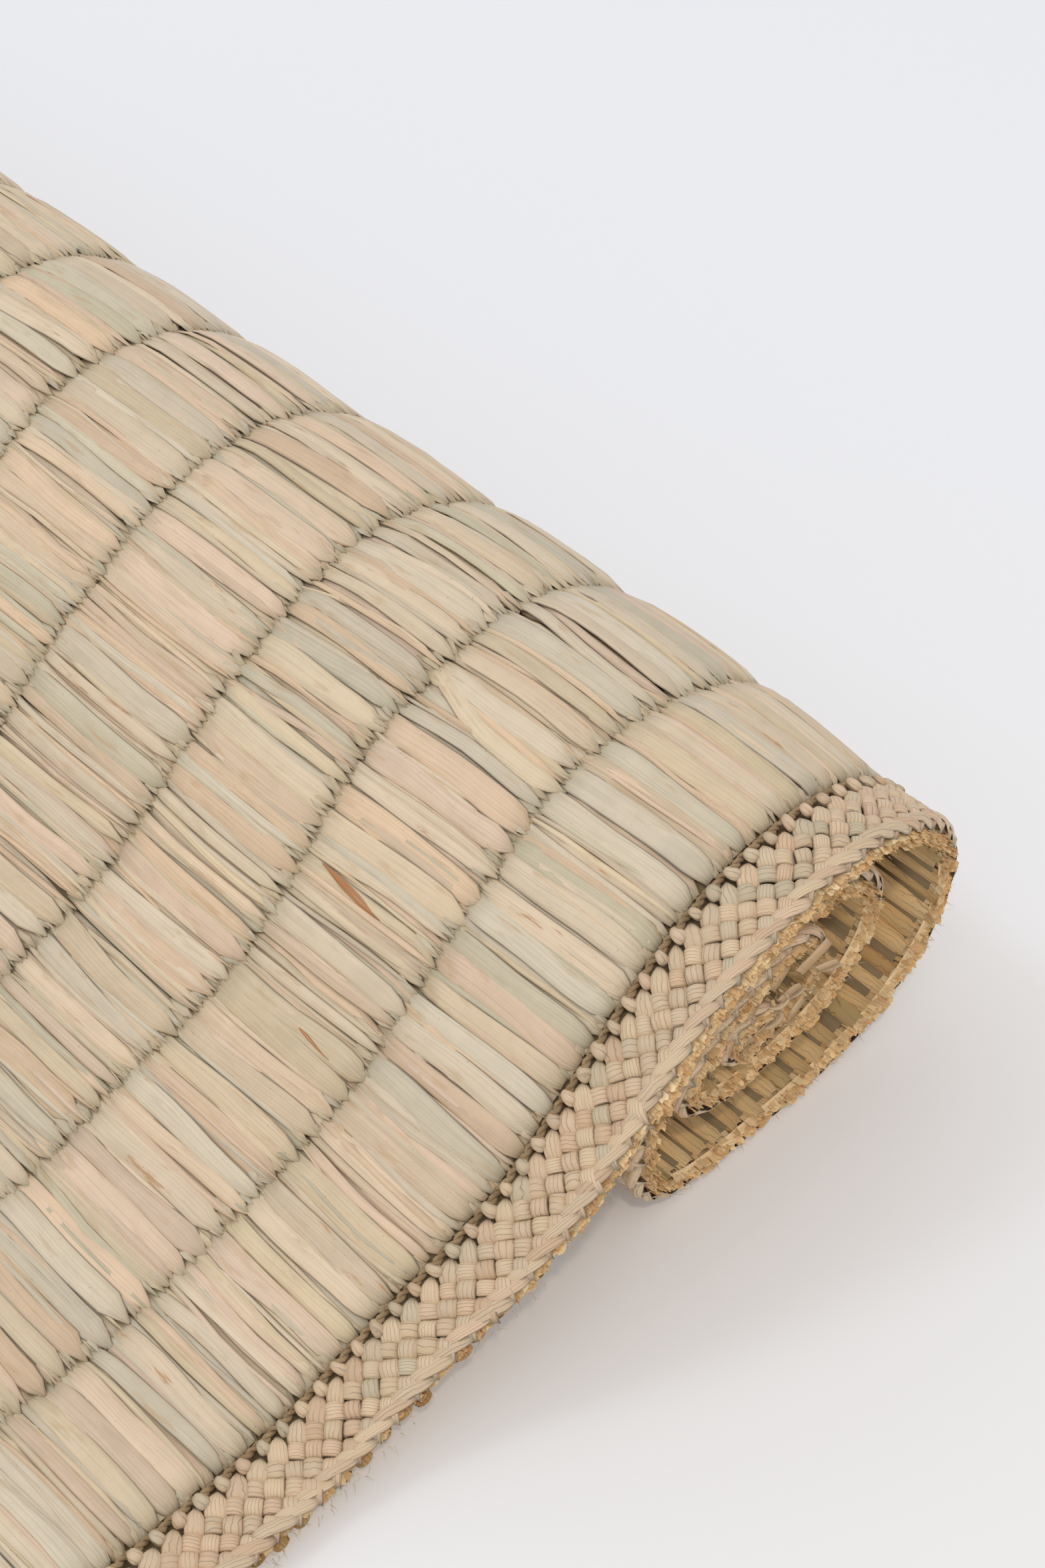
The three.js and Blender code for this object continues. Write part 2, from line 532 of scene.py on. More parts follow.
@dataclass
class Graph:
    """Adds nodes to a shader or geometry tree."""

    tree: bpy.types.NodeTree

    def add(self, kind: str, values: Optional[dict] = None, **settings: object) -> bpy.types.Node:
        """Adds one node.

        Args:
            kind: The node's type.
            values: Its inputs by name or number, as values, terms or sockets.
            settings: Its properties, set first; stops sets a ramp's colours.

        Returns:
            The node.
        """
        node = self.tree.nodes.new(kind)
        for key, value in settings.items():
            if key == "stops":
                self.ramp(node, value)
            else:
                setattr(node, key, value)
        for key, value in (values or {}).items():
            self.feed(node, key, value)
        return node

    def feed(self, node: bpy.types.Node, key: Union[str, int], value: Value) -> None:
        """Sets or links one input."""
        if isinstance(key, int):
            socket = node.inputs[key]
        else:
            socket = next(s for s in node.inputs if s.name == key and s.enabled)
        if isinstance(value, Term):
            self.tree.links.new(value.socket, socket)
        elif isinstance(value, bpy.types.NodeSocket):
            self.tree.links.new(value, socket)
        elif value is not None:
            socket.default_value = value

    def ramp(self, node: bpy.types.Node, stops: tuple) -> None:
        """Sets a ramp's stops, each a place and a colour."""
        elements = node.color_ramp.elements
        while len(elements) < len(stops):
            elements.new(0.5)
        for element, (place, colour) in zip(elements, stops):
            element.position = place
            element.color = (*colour, 1.0)

    def out(self, node: bpy.types.Node, name: Union[str, int] = 0) -> Term:
        """Wraps one output of a node."""
        if isinstance(name, int):
            return Term(self, node.outputs[name])
        socket = next(s for s in node.outputs if s.name == name and s.enabled)
        return Term(self, socket)

    def term(
        self,
        kind: str,
        values: Optional[dict] = None,
        output: Union[str, int] = 0,
        **settings: object,
    ) -> Term:
        """Adds one node, as add does, and wraps one of its outputs."""
        return self.out(self.add(kind, values, **settings), output)

    def split(self, vector: Value) -> tuple[Term, ...]:
        """Splits a vector into its three parts."""
        node = self.add("ShaderNodeSeparateXYZ", {0: vector})
        return tuple(self.out(node, part) for part in range(3))

    def vector(self, x: Value, y: Value = None, z: Value = None) -> Term:
        """Joins numbers into a vector, with 0 where one is left out."""
        return self.term("ShaderNodeCombineXYZ", {0: x, 1: y, 2: z})

    def noise(self, vector: Value, scale: float, detail: float, roughness: float = 0.6) -> Term:
        """Adds a noise pattern."""
        values = {"Vector": vector, "Scale": scale, "Detail": detail, "Roughness": roughness}
        return self.term("ShaderNodeTexNoise", values)

    def mixed(self, base: Term, amount: Term, over: Colour) -> Term:
        """Lays a colour over another by an amount."""
        node = self.add("ShaderNodeMix", {0: amount, 6: base, 7: (*over, 1.0)}, data_type="RGBA")
        return self.out(node, 2)

    def surface(
        self, values: dict, height: Optional[Term] = None, depth: float = 0.0, strength: float = 1.0
    ) -> None:
        """Closes a material's tree with its surface.

        Args:
            values: The surface's inputs.
            height: The height of its bumps, where it has any.
            depth: How deep they are, in millimetres.
            strength: How strongly they show.
        """
        if height is not None:
            bump = {"Strength": strength, "Distance": depth * MM, "Height": height}
            values["Normal"] = self.term("ShaderNodeBump", bump)
        self.add("ShaderNodeOutputMaterial", {"Surface": self.term("ShaderNodeBsdfPrincipled", values)})


def blank_material(name: str) -> tuple[bpy.types.Material, Graph]:
    """Makes a material with an empty tree."""
    material = bpy.data.materials.new(name)
    material.use_nodes = True
    material.node_tree.nodes.clear()
    return material, Graph(material.node_tree)


SCATTER_LIMITS = ("Turn low", "Turn high", "Scale low", "Scale high")
TWINE_SIZES = (
    "Length",
    "Step",
    "Across",
    "Lift",
    "Thread radius",
    "Ply radius",
    "Lay",
    "Wave pitch",
    "Wave",
)


@dataclass
class WindingTrees:
    """Geometry trees that wind flat layouts on the cloth's path."""

    path: ClothPath
    guide: bpy.types.Object

    def start(self, name: str, extras: dict[str, str]) -> tuple[Graph, bpy.types.Node]:
        """Starts a tree with the inputs that every tree here has.

        Args:
            name: The tree's name.
            extras: The tree's own inputs and their kinds.

        Returns:
            The tree's graph and its input node.
        """
        tree = bpy.data.node_groups.new(name, "GeometryNodeTree")
        tree.is_modifier = True
        tree.interface.new_socket(name="Geometry", in_out="OUTPUT", socket_type="NodeSocketGeometry")
        inputs = {"Geometry": "Geometry", "Guide": "Object", "Finish": "Material", **extras}
        for key, kind in inputs.items():
            tree.interface.new_socket(name=key, in_out="INPUT", socket_type=f"NodeSocket{kind}")
        graph = Graph(tree)
        return graph, graph.add("NodeGroupInput")

    def end(self, graph: Graph, given: bpy.types.Node, shape: Term) -> bpy.types.NodeTree:
        """Winds the shape, realizes it, gives it its finish and closes the tree.

        Args:
            graph: The tree's graph.
            given: Its input node.
            shape: The flat geometry.

        Returns:
            The tree.
        """
        wound = self.wind(graph, given, shape)
        real = graph.term("GeometryNodeRealizeInstances", {"Geometry": wound})
        smooth = graph.term("GeometryNodeSetShadeSmooth", {"Geometry": real})
        dress = {"Geometry": smooth, "Material": graph.out(given, "Finish")}
        graph.add("NodeGroupOutput", {"Geometry": graph.term("GeometryNodeSetMaterial", dress)})
        return graph.tree

    def wind(self, graph: Graph, given: bpy.types.Node, shape: Term) -> Term:
        """Moves flat points to their place on the wound cloth.

        Args:
            graph: The tree's graph.
            given: Its input node, which holds the guide.
            shape: The flat geometry.

        Returns:
            The wound geometry.
        """
        sizes, length = self.path.sizes, self.path.length
        settled = graph.term("GeometryNodeRealizeInstances", {"Geometry": shape})
        along, across, out = graph.split(graph.term("GeometryNodeInputPosition"))
        source = {"Object": graph.out(given, "Guide")}
        guide = graph.term("GeometryNodeObjectInfo", source, "Geometry", transform_space="ORIGINAL")
        held = along.maths("MAXIMUM", 0.0).maths("MINIMUM", length * MM)
        wanted = {"Curves": guide, "Length": held}
        sample = graph.add("GeometryNodeSampleCurve", wanted, mode="LENGTH", use_all_curves=True)
        place_x, _, place_z = graph.split(graph.out(sample, "Position"))
        way_x, _, way_z = graph.split(graph.out(sample, "Tangent"))
        begin = (length - sizes.core_length - sizes.core_ease) * MM
        thinning = along.between(begin, begin + sizes.core_ease * MM)
        inset = sizes.inner_width / 2 * MM - across.maths("ABSOLUTE")
        loose = inset.between(0.0, sizes.loosened_inset * MM) * (sizes.loosened * MM)
        stretches = (sizes.loosening, sizes.tightening)
        risen, fallen = (along.between(low * MM, high * MM) for low, high in stretches)
        reach = (out + loose * (risen - fallen)) * (1.0 - thinning * (1 - sizes.core_half / sizes.half))
        for slide in SLIDES:
            across = across + along.between(slide.start * MM, slide.stop * MM) * (slide.shift * MM)
        beyond = along - held
        x = place_x + way_x * beyond - way_z * reach
        z = place_z + way_z * beyond + way_x * reach
        z = z.maths("MAXIMUM", sizes.floor_clear * MM)
        moved = {"Geometry": settled, "Position": graph.vector(x, across, z)}
        return graph.term("GeometryNodeSetPosition", moved)

    def laid_tree(self) -> bpy.types.NodeTree:
        """Builds the tree that only winds a layout."""
        graph, given = self.start("wind_layout", {})
        return self.end(graph, given, graph.out(given, "Geometry"))

    def scatter_tree(self) -> bpy.types.NodeTree:
        """Builds the tree that sets a small part on every point of a layout, then winds it."""
        limits = dict.fromkeys(SCATTER_LIMITS, "Vector")
        graph, given = self.start("scatter_parts", {"Part": "Object", **limits, "Seed": "Int"})
        source = {"Object": graph.out(given, "Part")}
        values = {
            "Points": graph.term("GeometryNodeMeshToPoints", {"Mesh": graph.out(given, "Geometry")}),
            "Instance": graph.term("GeometryNodeObjectInfo", source, "Geometry"),
            "Rotation": self.drawn(graph, given, 0, "Turn"),
            "Scale": self.drawn(graph, given, 1, "Scale"),
        }
        shape = graph.term("GeometryNodeInstanceOnPoints", values)
        kinds = {"data_type": "FLOAT", "domain": "INSTANCE"}
        for shift, key in enumerate(("tone", "hue"), start=2):
            stored = {"Geometry": shape, "Name": key, "Value": self.drawn(graph, given, shift)}
            shape = graph.term("GeometryNodeStoreNamedAttribute", stored, **kinds)
        return self.end(graph, given, shape)

    def drawn(self, graph: Graph, given: bpy.types.Node, shift: int, key: str = "") -> Term:
        """Draws a value for each point.

        Args:
            graph: The tree's graph.
            given: Its input node, which holds the seed.
            shift: What is added to the seed.
            key: The limits that a vector lies between. Without it, a number from 0 to 1 is drawn.

        Returns:
            The value.
        """
        values = {"Seed": graph.out(given, "Seed") + float(shift)}
        if key:
            values["Min"] = graph.out(given, f"{key} low")
            values["Max"] = graph.out(given, f"{key} high")
        kind = "FLOAT_VECTOR" if key else "FLOAT"
        return graph.term("FunctionNodeRandomValue", values, "Value", data_type=kind)

    def twine_tree(self) -> bpy.types.NodeTree:
        """Builds the tree that twists two threads together along the mat, then winds them."""
        graph, given = self.start("twisted_twine", dict.fromkeys(TWINE_SIZES, "Float"))
        length, step, across, lift, thread, ply_radius, lay, pitch, wave = (
            graph.out(given, key) for key in TWINE_SIZES
        )
        spacing = {"Count": length / step, "Offset": graph.vector(step)}
        line = graph.term("GeometryNodeMeshLine", spacing, mode="OFFSET")
        centre = graph.term("GeometryNodeMeshToCurve", {"Mesh": line})
        along = graph.split(graph.term("GeometryNodeInputPosition"))[0]
        ring = graph.term("GeometryNodeCurvePrimitiveCircle", {"Resolution": 6, "Radius": thread})
        join = graph.add("GeometryNodeJoinGeometry")
        for ply in range(2):
            angle = along / lay * math.tau + ply * math.pi
            swing = (along / pitch * math.tau).maths("COSINE") * wave
            y = angle.maths("COSINE") * ply_radius + across + swing * 0.7
            z = angle.maths("SINE") * ply_radius + lift - swing
            moved = {"Geometry": centre, "Position": graph.vector(along, y, z)}
            bent = graph.term("GeometryNodeSetPosition", moved)
            tube = graph.term("GeometryNodeCurveToMesh", {0: bent, "Profile Curve": ring})
            graph.tree.links.new(tube.socket, join.inputs[0])
        return self.end(graph, given, graph.out(join))

    def apply(
        self,
        source: bpy.types.Object,
        tree: bpy.types.NodeTree,
        name: str,
        finish: bpy.types.Material,
        values: Optional[dict] = None,
    ) -> bpy.types.Object:
        """Runs a tree on an object and keeps the result as a plain mesh.

        Args:
            source: The object that the tree starts from, removed afterwards.
            tree: The tree.
            name: The finished piece's name.
            finish: Its material.
            values: The tree's own inputs by name.

        Returns:
            The finished piece.
        """
        modifier = source.modifiers.new("winding", "NODES")
        modifier.node_group = tree
        wanted = {"Guide": self.guide, "Finish": finish, **(values or {})}
        for item in tree.interface.items_tree:
            if item.item_type == "SOCKET" and item.in_out == "INPUT" and item.name in wanted:
                modifier[item.identifier] = wanted[item.name]
        source.update_tag()
        view = bpy.context.evaluated_depsgraph_get()
        view.update()
        evaluated = source.evaluated_get(view)
        mesh = bpy.data.meshes.new_from_object(evaluated, preserve_all_data_layers=True, depsgraph=view)
        mesh.name = name
        piece = bpy.data.objects.new(name, mesh)
        bpy.context.scene.collection.objects.link(piece)
        used = source.data
        bpy.data.objects.remove(source)
        bpy.data.meshes.remove(used)
        if not mesh.materials:
            mesh.materials.append(finish)
        return piece


def placed(name: str, mesh: bpy.types.Mesh) -> bpy.types.Object:
    """Links a mesh to the scene as a new object."""
    made = bpy.data.objects.new(name, mesh)
    bpy.context.scene.collection.objects.link(made)
    return made


TIP_GREEN = (0.46, 0.42, 0.23)
STAIN = (0.55, 0.36, 0.19)
FLECK = (0.5, 0.27, 0.12)
RUST = (0.45, 0.19, 0.065)
SPECK = (0.3, 0.16, 0.08)


@dataclass(frozen=True)
class LeafFinish:
    """Dry rush leaf: smooth and satin, veined along its length, in several tones, with painted shade along
    its edges, towards its ends and in its creases and folds.
    """

    name: str
    palette: tuple[tuple[float, Colour], ...]
    roughness: float = 0.5
    vein_scale: float = 14.0
    vein_depth: float = 0.12
    end_shade: float = 0.9
    stain: float = 0.5
    edge_rim_and_shade: float = 0.6
    tip_tint: float = 0.24
    pleats: float = 0.0
    base_shade: float = 0.945
    tone_share: float = 0.2
    grain_share: float = 0.22
    fine_share: float = 0.12
    cloud_share: float = 0.22
    crease_shade: float = 0.4
    speck_shade: float = 0.5
    gloss_swing: float = 0.16
    bump_strength: float = 0.55

    def build(self) -> bpy.types.Material:
        """Builds the material.

        Returns:
            The material, its shade driven by the leaf's own marks and map.
        """
        material, graph = blank_material(self.name)
        tone, hue, end, vein, side = (
            graph.term("ShaderNodeAttribute", None, "Fac", attribute_name=key)
            for key in ("tone", "hue", "end", "vein", "side")
        )
        uv = graph.term("ShaderNodeUVMap", uv_map="leaf_map")
        along = graph.split(uv)[1]
        grain = graph.noise(graph.vector(vein * self.vein_scale, along * 0.25), 1.0, 3.0)
        fine = graph.noise(graph.vector(vein * self.vein_scale * 3.5, along * 0.4), 1.0, 2.0)
        cloud = graph.noise(uv, 0.9, 3.0)
        stretched = graph.term("ShaderNodeMapping", {"Vector": uv, "Scale": (2.4, 0.3, 1.0)})
        blot = graph.noise(stretched, 1.2, 4.0)
        speck = graph.noise(uv, 8.0, 2.0).between(0.69, 0.74)
        tip = (1.0 - end) ** 2.0
        crease = fine.between(0.46, 0.62) * tip
        if self.pleats:
            seam, seam_shade = self.folds(side, tone, hue, cloud), 0.4
        else:
            seam, seam_shade = self.vein_line(graph, vein, along), 0.09
        shade = self.base_shade + tone * self.tone_share + (grain - 0.5) * self.grain_share
        shade = shade + (fine - 0.5) * self.fine_share + (cloud - 0.5) * self.cloud_share
        # Darker towards the ends, where leaves and strands tuck under their neighbours: painted shade.
        shade = shade * (self.end_shade + (1.0 - self.end_shade) * end**0.6)
        # Dark lines along the edges: partly the leaf edge's own brown rim, partly painted shadow where one
        # leaf lies over the next.
        shade = shade * (1.0 - side.maths("ABSOLUTE").between(0.86, 0.99) * self.edge_rim_and_shade)
        # Darkens the creases near the tips and the folds of pleated strands as painted shade; on plain
        # leaves the same term draws faint vein lines.
        shade = shade * (1.0 - crease * self.crease_shade) * (1.0 - seam * seam_shade)
        body = graph.term("ShaderNodeValToRGB", {0: hue}, stops=self.palette)
        tinted = graph.mixed(body, tip * self.tip_tint, TIP_GREEN)
        colour = graph.term("ShaderNodeVectorMath", {0: tinted, "Scale": shade}, operation="SCALE")
        layers = (
            (blot.between(0.56, 0.7) * self.stain, STAIN),
            (blot.between(0.62, 0.68) * hue.between(0.95, 0.97) * 0.7, FLECK),
            (hue.between(1.05, 1.15) * fine.between(0.15, 0.5), RUST),
            (speck * self.speck_shade, SPECK),
        )
        for amount, tint in layers:
            colour = graph.mixed(colour, amount, tint)
        height = grain * 0.6 + fine * 0.4 - crease * 0.8 - seam * 0.8
        values = {
            "Base Color": colour,
            "Roughness": self.roughness + (grain - 0.5) * self.gloss_swing,
            "Specular IOR Level": 0.42,
        }
        graph.surface(values, height, self.vein_depth, self.bump_strength)
        return material

    def folds(self, side: Term, tone: Term, hue: Term, cloud: Term) -> Term:
        """Draws the few folds that run along a pleated strand, as lines that the finish darkens as painted
        shade and dents in the bump.
        """
        turns = side * (tone * 1.1 + 0.45) * self.pleats + hue * 9.0 + cloud * 2.2
        lines = 1.0 - (turns * math.pi).maths("SINE").maths("ABSOLUTE").between(0.02, 0.36)
        return lines * cloud.between(0.25, 0.6)

    def vein_line(self, graph: Graph, vein: Term, along: Term) -> Term:
        """Draws fine dark lines that wander along a leaf."""
        wander = graph.noise(graph.vector(vein * 6.0, along * 0.12), 1.0, 0.0)
        return 1.0 - (wander - 0.5).maths("ABSOLUTE").between(0.012, 0.07)


@dataclass(frozen=True)
class CoarseFinish:
    """A matt, fibrous stuff, such as jute or the rush's pith, in two tones."""

    name: str
    light: Colour
    dark: Colour
    scale: float = 900.0
    stretch: Triple = (1.0, 1.0, 1.0)
    roughness: float = 0.9
    depth: float = 0.4

    def build(self) -> bpy.types.Material:
        """Builds the material from two sizes of noise on the piece's own coordinates."""
        material, graph = blank_material(self.name)
        here = graph.term("ShaderNodeTexCoord", None, "Object")
        pulled = graph.term("ShaderNodeMapping", {"Vector": here, "Scale": self.stretch})
        fine = graph.noise(pulled, self.scale, 4.0, 0.7)
        broad = graph.noise(here, self.scale * 0.12, 3.0, 0.5)
        mix = (fine * 0.65 + broad * 0.5 - 0.08).clipped()
        stops = ((0.25, self.dark), (0.72, self.light))
        colour = graph.term("ShaderNodeValToRGB", {0: mix}, stops=stops)
        graph.surface({"Base Color": colour, "Roughness": self.roughness}, fine, self.depth, 0.9)
        return material


STRAW = (0.69, 0.555, 0.36)
CREAM = (0.71, 0.575, 0.415)
BLUSH = (0.71, 0.54, 0.4)
PEACH = (0.72, 0.525, 0.345)
SAGE = (0.6, 0.53, 0.37)
STONE = (0.64, 0.555, 0.42)

FACE_LEAF = LeafFinish(
    "rush_leaf",
    (
        (0.0, SAGE),
        (0.14, STONE),
        (0.34, CREAM),
        (0.5, STRAW),
        (0.68, BLUSH),
        (0.86, PEACH),
        (1.0, CREAM),
    ),
)
BORDER_LEAF = LeafFinish(
    "border_leaf",
    (
        (0.0, (0.58, 0.49, 0.34)),
        (0.2, (0.65, 0.5, 0.34)),
        (0.5, (0.69, 0.53, 0.35)),
        (0.78, (0.69, 0.5, 0.34)),
        (1.0, (0.63, 0.44, 0.28)),
    ),
    vein_scale=22.0,
    vein_depth=0.3,
    end_shade=0.45,
    stain=0.35,
    edge_rim_and_shade=0.55,
    tip_tint=0.0,
    pleats=2.2,
)
# Golden rush colours, lighter than the rush's own, to stand in for the warm light bounced inside the coil:
# partly painted light.
LINING_LEAF = LeafFinish(
    "lining_leaf",
    (
        (0.0, (0.54, 0.41, 0.19)),
        (0.35, (0.8, 0.55, 0.26)),
        (0.7, (0.93, 0.68, 0.36)),
        (1.0, (0.7, 0.42, 0.17)),
    ),
    roughness=0.65,
    end_shade=0.85,
    edge_rim_and_shade=0.75,
    tip_tint=0.0,
    pleats=1.6,
)
CUT_LEAF = LeafFinish(
    "cut_leaf",
    (
        (0.0, (0.8, 0.52, 0.25)),
        (0.3, (0.94, 0.7, 0.39)),
        (0.7, (0.98, 0.8, 0.5)),
        (1.0, (0.82, 0.54, 0.27)),
    ),
    vein_scale=26.0,
    vein_depth=0.3,
    roughness=0.75,
    end_shade=0.6,
    stain=0.6,
    edge_rim_and_shade=0.3,
    tip_tint=0.0,
)
# Dark brown packed rush: painted shade, so that the gaps between leaves and plait strands read dark.
SHADE_GROUND = CoarseFinish(
    "packed_rush",
    light=(0.36, 0.27, 0.15),
    dark=(0.16, 0.11, 0.055),
    scale=260.0,
    stretch=(1.0, 0.1, 1.0),
)
PITH = CoarseFinish(
    "rush_pith",
    light=(0.98, 0.79, 0.5),
    dark=(0.78, 0.51, 0.25),
    scale=1100.0,
    stretch=(1.0, 0.6, 1.0),
    roughness=0.95,
    depth=0.6,
)
JUTE = CoarseFinish(
    "jute",
    light=(0.5, 0.35, 0.2),
    dark=(0.2, 0.125, 0.06),
    scale=1300.0,
    stretch=(1.0, 0.4, 1.0),
)
FIBRE = CoarseFinish("loose_fibre", light=(0.82, 0.7, 0.48), dark=(0.52, 0.34, 0.16), scale=500.0)


@dataclass(frozen=True)
class Streak:
    """A rust-stained sliver on a leaf: its cell, its place along and across the mat and half its width."""

    cell: int
    s: float
    low: float
    high: float
    half_width: float


RUSTED = 1.3
STREAKS = (
    Streak(1, 560, -330, -296, 1.5),
    Streak(1, 510, -344, -318, 0.7),
    Streak(2, 842, -262, -245, 0.8),
)


@dataclass(frozen=True)
class Slivers:
    """Thin leaves among a cell's broad ones: their side, offsets, share and how proud they lie."""

    side: float
    low: float
    high: float
    share: float
    proud: float


SLIVERS = (
    Slivers(-1.0, 3.0, 5.0, 0.9, -0.5),
    Slivers(1.0, 3.0, 5.0, 0.9, -0.5),
    Slivers(1.0, -3.0, 3.0, 0.3, 0.3),
)


@dataclass
class RushCells:
    """The cells of rush leaves between the twined rows, their near tips lying over the cell before."""

    sizes: MatSizes
    length: float
    rng: np.random.Generator
    leaf_rows: int = 13
    leaf_columns: int = 7
    sliver_rows: int = 9
    sliver_columns: int = 4
    overhang: float = 2.0
    tuck: float = 5.5
    near_height: float = 4.7
    far_height: float = 3.5
    broad_share: float = 0.72
    tip_share: float = 0.85
    backing_half: float = 5.0
    backing_lift: float = -1.3
    hidden_half: float = 4.9
    lining_crown: float = 2.5
    row_waves: tuple[float, float] = (43.0, 19.0)
    waves: Array = field(init=False)

    def __post_init__(self) -> None:
        """Draws how each twined row waves along the mat."""
        self.waves = self.rng.uniform(0, 2 * np.pi, (len(self.sizes.cell_widths) + 1, 2))
        self.last = len(self.sizes.cell_widths) - 1

    def row_place(self, row: int, s: Array) -> Array:
        """Works out where a twined row lies across the mat."""
        base = np.full(len(s), self.sizes.rows[row])
        if 0 < row <= self.last:
            first, second = self.waves[row]
            long, short = self.row_waves
            base += 1.2 * np.sin(s / long + first) + 0.8 * np.sin(s / short + second)
        return base

    def bundle_places(self, cell: int, start: float, stop: float) -> Array:
        """Places the bundles of one cell along the mat, offset by half a pitch in every other cell."""
        pitch = self.sizes.bundle_pitch
        count = int((stop - start) / pitch)
        base = start + (np.arange(count) + 0.5 + 0.5 * (cell % 2)) * pitch
        return base + self.rng.normal(0, 0.5, count)

    def batch(
        self, cell: int, places: Array, half: Each, offset: Each, lift: Each, tilt: Each
    ) -> LeafBatch:
        """Gathers one kind of leaf of a cell.

        Args:
            cell: The cell's number, from the near border.
            places: The bundle of each leaf, along the mat.
            half: Half of each leaf's width.
            offset: How far each leaf's middle stands beside its bundle's.
            lift: How far it stands proud.
            tilt: How much it leans.

        Returns:
            The batch.
        """
        rng, count = self.rng, len(places)
        lean = 1.6 * np.sin(places / 55 + self.waves[cell, 0]) + rng.normal(0, 0.8, count)
        stray = np.where(rng.random(count) < 0.12, rng.normal(0, 3.0, count), 0.0)
        near = LeafEnds(
            s=places + offset * 0.82 + rng.normal(0, 0.5, count),
            y=self.row_place(cell, places) - self.overhang + rng.normal(0, 0.9, count),
            height=rng.normal(self.near_height, 0.25, count),
            pinch=rng.uniform(0.7, 0.92, count),
            point=rng.uniform(5.0, 9.5, count),
            taper=rng.uniform(10, 17, count),
            rise=rng.uniform(9.0, 14.0, count),
        )
        far = LeafEnds(
            s=places + offset * 0.82 + lean + stray,
            y=self.row_place(cell + 1, places) + self.tuck + rng.normal(0, 0.5, count),
            height=rng.normal(self.far_height, 0.2, count),
            tip=0.85,
            pinch=rng.uniform(0.88, 1.0, count),
            point=2.0,
            taper=rng.uniform(12, 20, count),
            rise=rng.uniform(16.0, 21.0, count),
            flat=4.5,
        )
        if cell == 0:
            near = self.stumps(near, self.row_place(0, places) + 0.6, rng)
        if cell == self.last:
            far = self.stumps(far, self.row_place(cell + 1, places) - 0.6, rng)
        halfway = (near.s + far.s) / 2
        tone, hue = rng.uniform(0, 1, count), rng.uniform(0, 1, count)
        return LeafBatch(near, far, half, places + offset - halfway, lift, tilt, tone, hue)

    def stumps(self, ends: LeafEnds, y: Array, rng: np.random.Generator) -> LeafEnds:
        """Rounds the ends off like fingertips, where the twine gathers them beside the border."""
        count = len(y)
        return LeafEnds(
            s=ends.s,
            y=y + rng.normal(0, 0.45, count),
            height=3.2,
            tip=0.45,
            pinch=rng.uniform(0.75, 0.95, count),
            point=2.6,
            taper=9.0,
            rise=5.0,
        )

    def cell(self, cell: int) -> FlatMesh:
        """Lays out one cell's leaves: fine where they show and coarse inside the roll."""
        rng, shown = self.rng, self.sizes.shown_length
        places = self.bundle_places(cell, 0, shown)
        count = len(places)
        broad = rng.random(count) < self.broad_share
        half = np.where(broad, rng.uniform(4.0, 5.5, count), rng.uniform(2.2, 3.6, count))
        lean = np.where(rng.random(count) < 0.75, 1.0, -1.0) * rng.uniform(0.02, 0.13, count)
        offset, lift = rng.normal(0, 0.8, count), rng.normal(0, 0.35, count)
        main = self.batch(cell, places, half, offset, lift, lean)
        parts = [main.lay(self.leaf_rows, self.leaf_columns, rng)]
        for kind in SLIVERS:
            chosen = places[rng.random(count) < kind.share]
            n = len(chosen)
            offset = kind.side * rng.uniform(kind.low, kind.high, n)
            slim, lift = rng.uniform(0.7, 2.4, n), rng.normal(kind.proud, 0.35, n)
            batch = self.batch(cell, chosen, slim, offset, lift, rng.normal(0, 0.16, n))
            parts.append(batch.lay(self.sliver_rows, self.sliver_columns, rng))
        between = places + 0.5 * self.sizes.bundle_pitch
        below = self.batch(cell, between, self.backing_half, 0.0, self.backing_lift, 0.0)
        below.near.height, below.far.height, below.pillow = 3.1, 2.2, 1.2
        parts.append(below.lay(7, 4, rng))
        if cell > 0:
            for side in (-1.0, 1.0):
                parts.append(self.tips(cell, places[rng.random(count) < self.tip_share], side))
        hidden = self.bundle_places(cell, shown, self.length)
        rows, columns = (11, 5) if cell in (0, self.last) else (7, 4)
        lift = rng.normal(-0.5, 0.2, len(hidden))
        inside = self.batch(cell, hidden, self.hidden_half, 0.0, lift, 0.0)
        inside.pillow = 0.2
        parts.append(inside.lay(rows, columns, rng))
        parts += [self.streak(streak) for streak in STREAKS if streak.cell == cell]
        return FlatMesh.join(parts)

    def streak(self, streak: Streak) -> FlatMesh:
        """Lays out one rust-stained sliver on top of the leaves."""
        one = np.ones(1)
        near, far = (
            LeafEnds(s=one * s, y=one * y, height=height, pinch=0.5, point=6.0, rise=rise)
            for s, y, height, rise in (
                (streak.s - 1.5, streak.low, 7.9, 4.0),
                (streak.s + 1.5, streak.high, 6.6, 16.0),
            )
        )
        batch = LeafBatch(near, far, streak.half_width, 0.0, 0.0, 0.0, one * 0.5, one * RUSTED)
        batch.swell, batch.pillow, batch.crown, batch.edge_drop = 8.2, 0.2, 0.2, 0.4
        return batch.lay(self.leaf_rows, 5, np.random.default_rng(streak.cell))

    def tips(self, cell: int, places: Array, side: float) -> FlatMesh:
        """Lays out the short pointed tips that complete the saw-tooth along a row."""
        rng, n = self.rng, len(places)
        offset = side * rng.uniform(1.0, 5.0, n)
        slim, lean = rng.uniform(1.5, 2.6, n), rng.normal(0, 0.2, n)
        batch = self.batch(cell, places, slim, offset, rng.normal(-0.3, 0.2, n), lean)
        batch.shift = rng.normal(0, 0.5, n)
        batch.pillow, batch.hue = 0.2, batch.hue * 0.6
        batch.near.y = batch.near.y - rng.uniform(-0.6, 1.2, n)
        batch.near.rise, batch.near.point = 5.5, rng.uniform(5.0, 8.0, n)
        batch.far = LeafEnds(
            s=batch.near.s + rng.normal(0, 1.2, n),
            y=batch.near.y + rng.uniform(11, 18, n),
            height=5.0,
            tip=0.3,
            pinch=0.8,
            point=4.0,
            taper=6.0,
            rise=6.0,
        )
        return batch.lay(6, 3, rng)

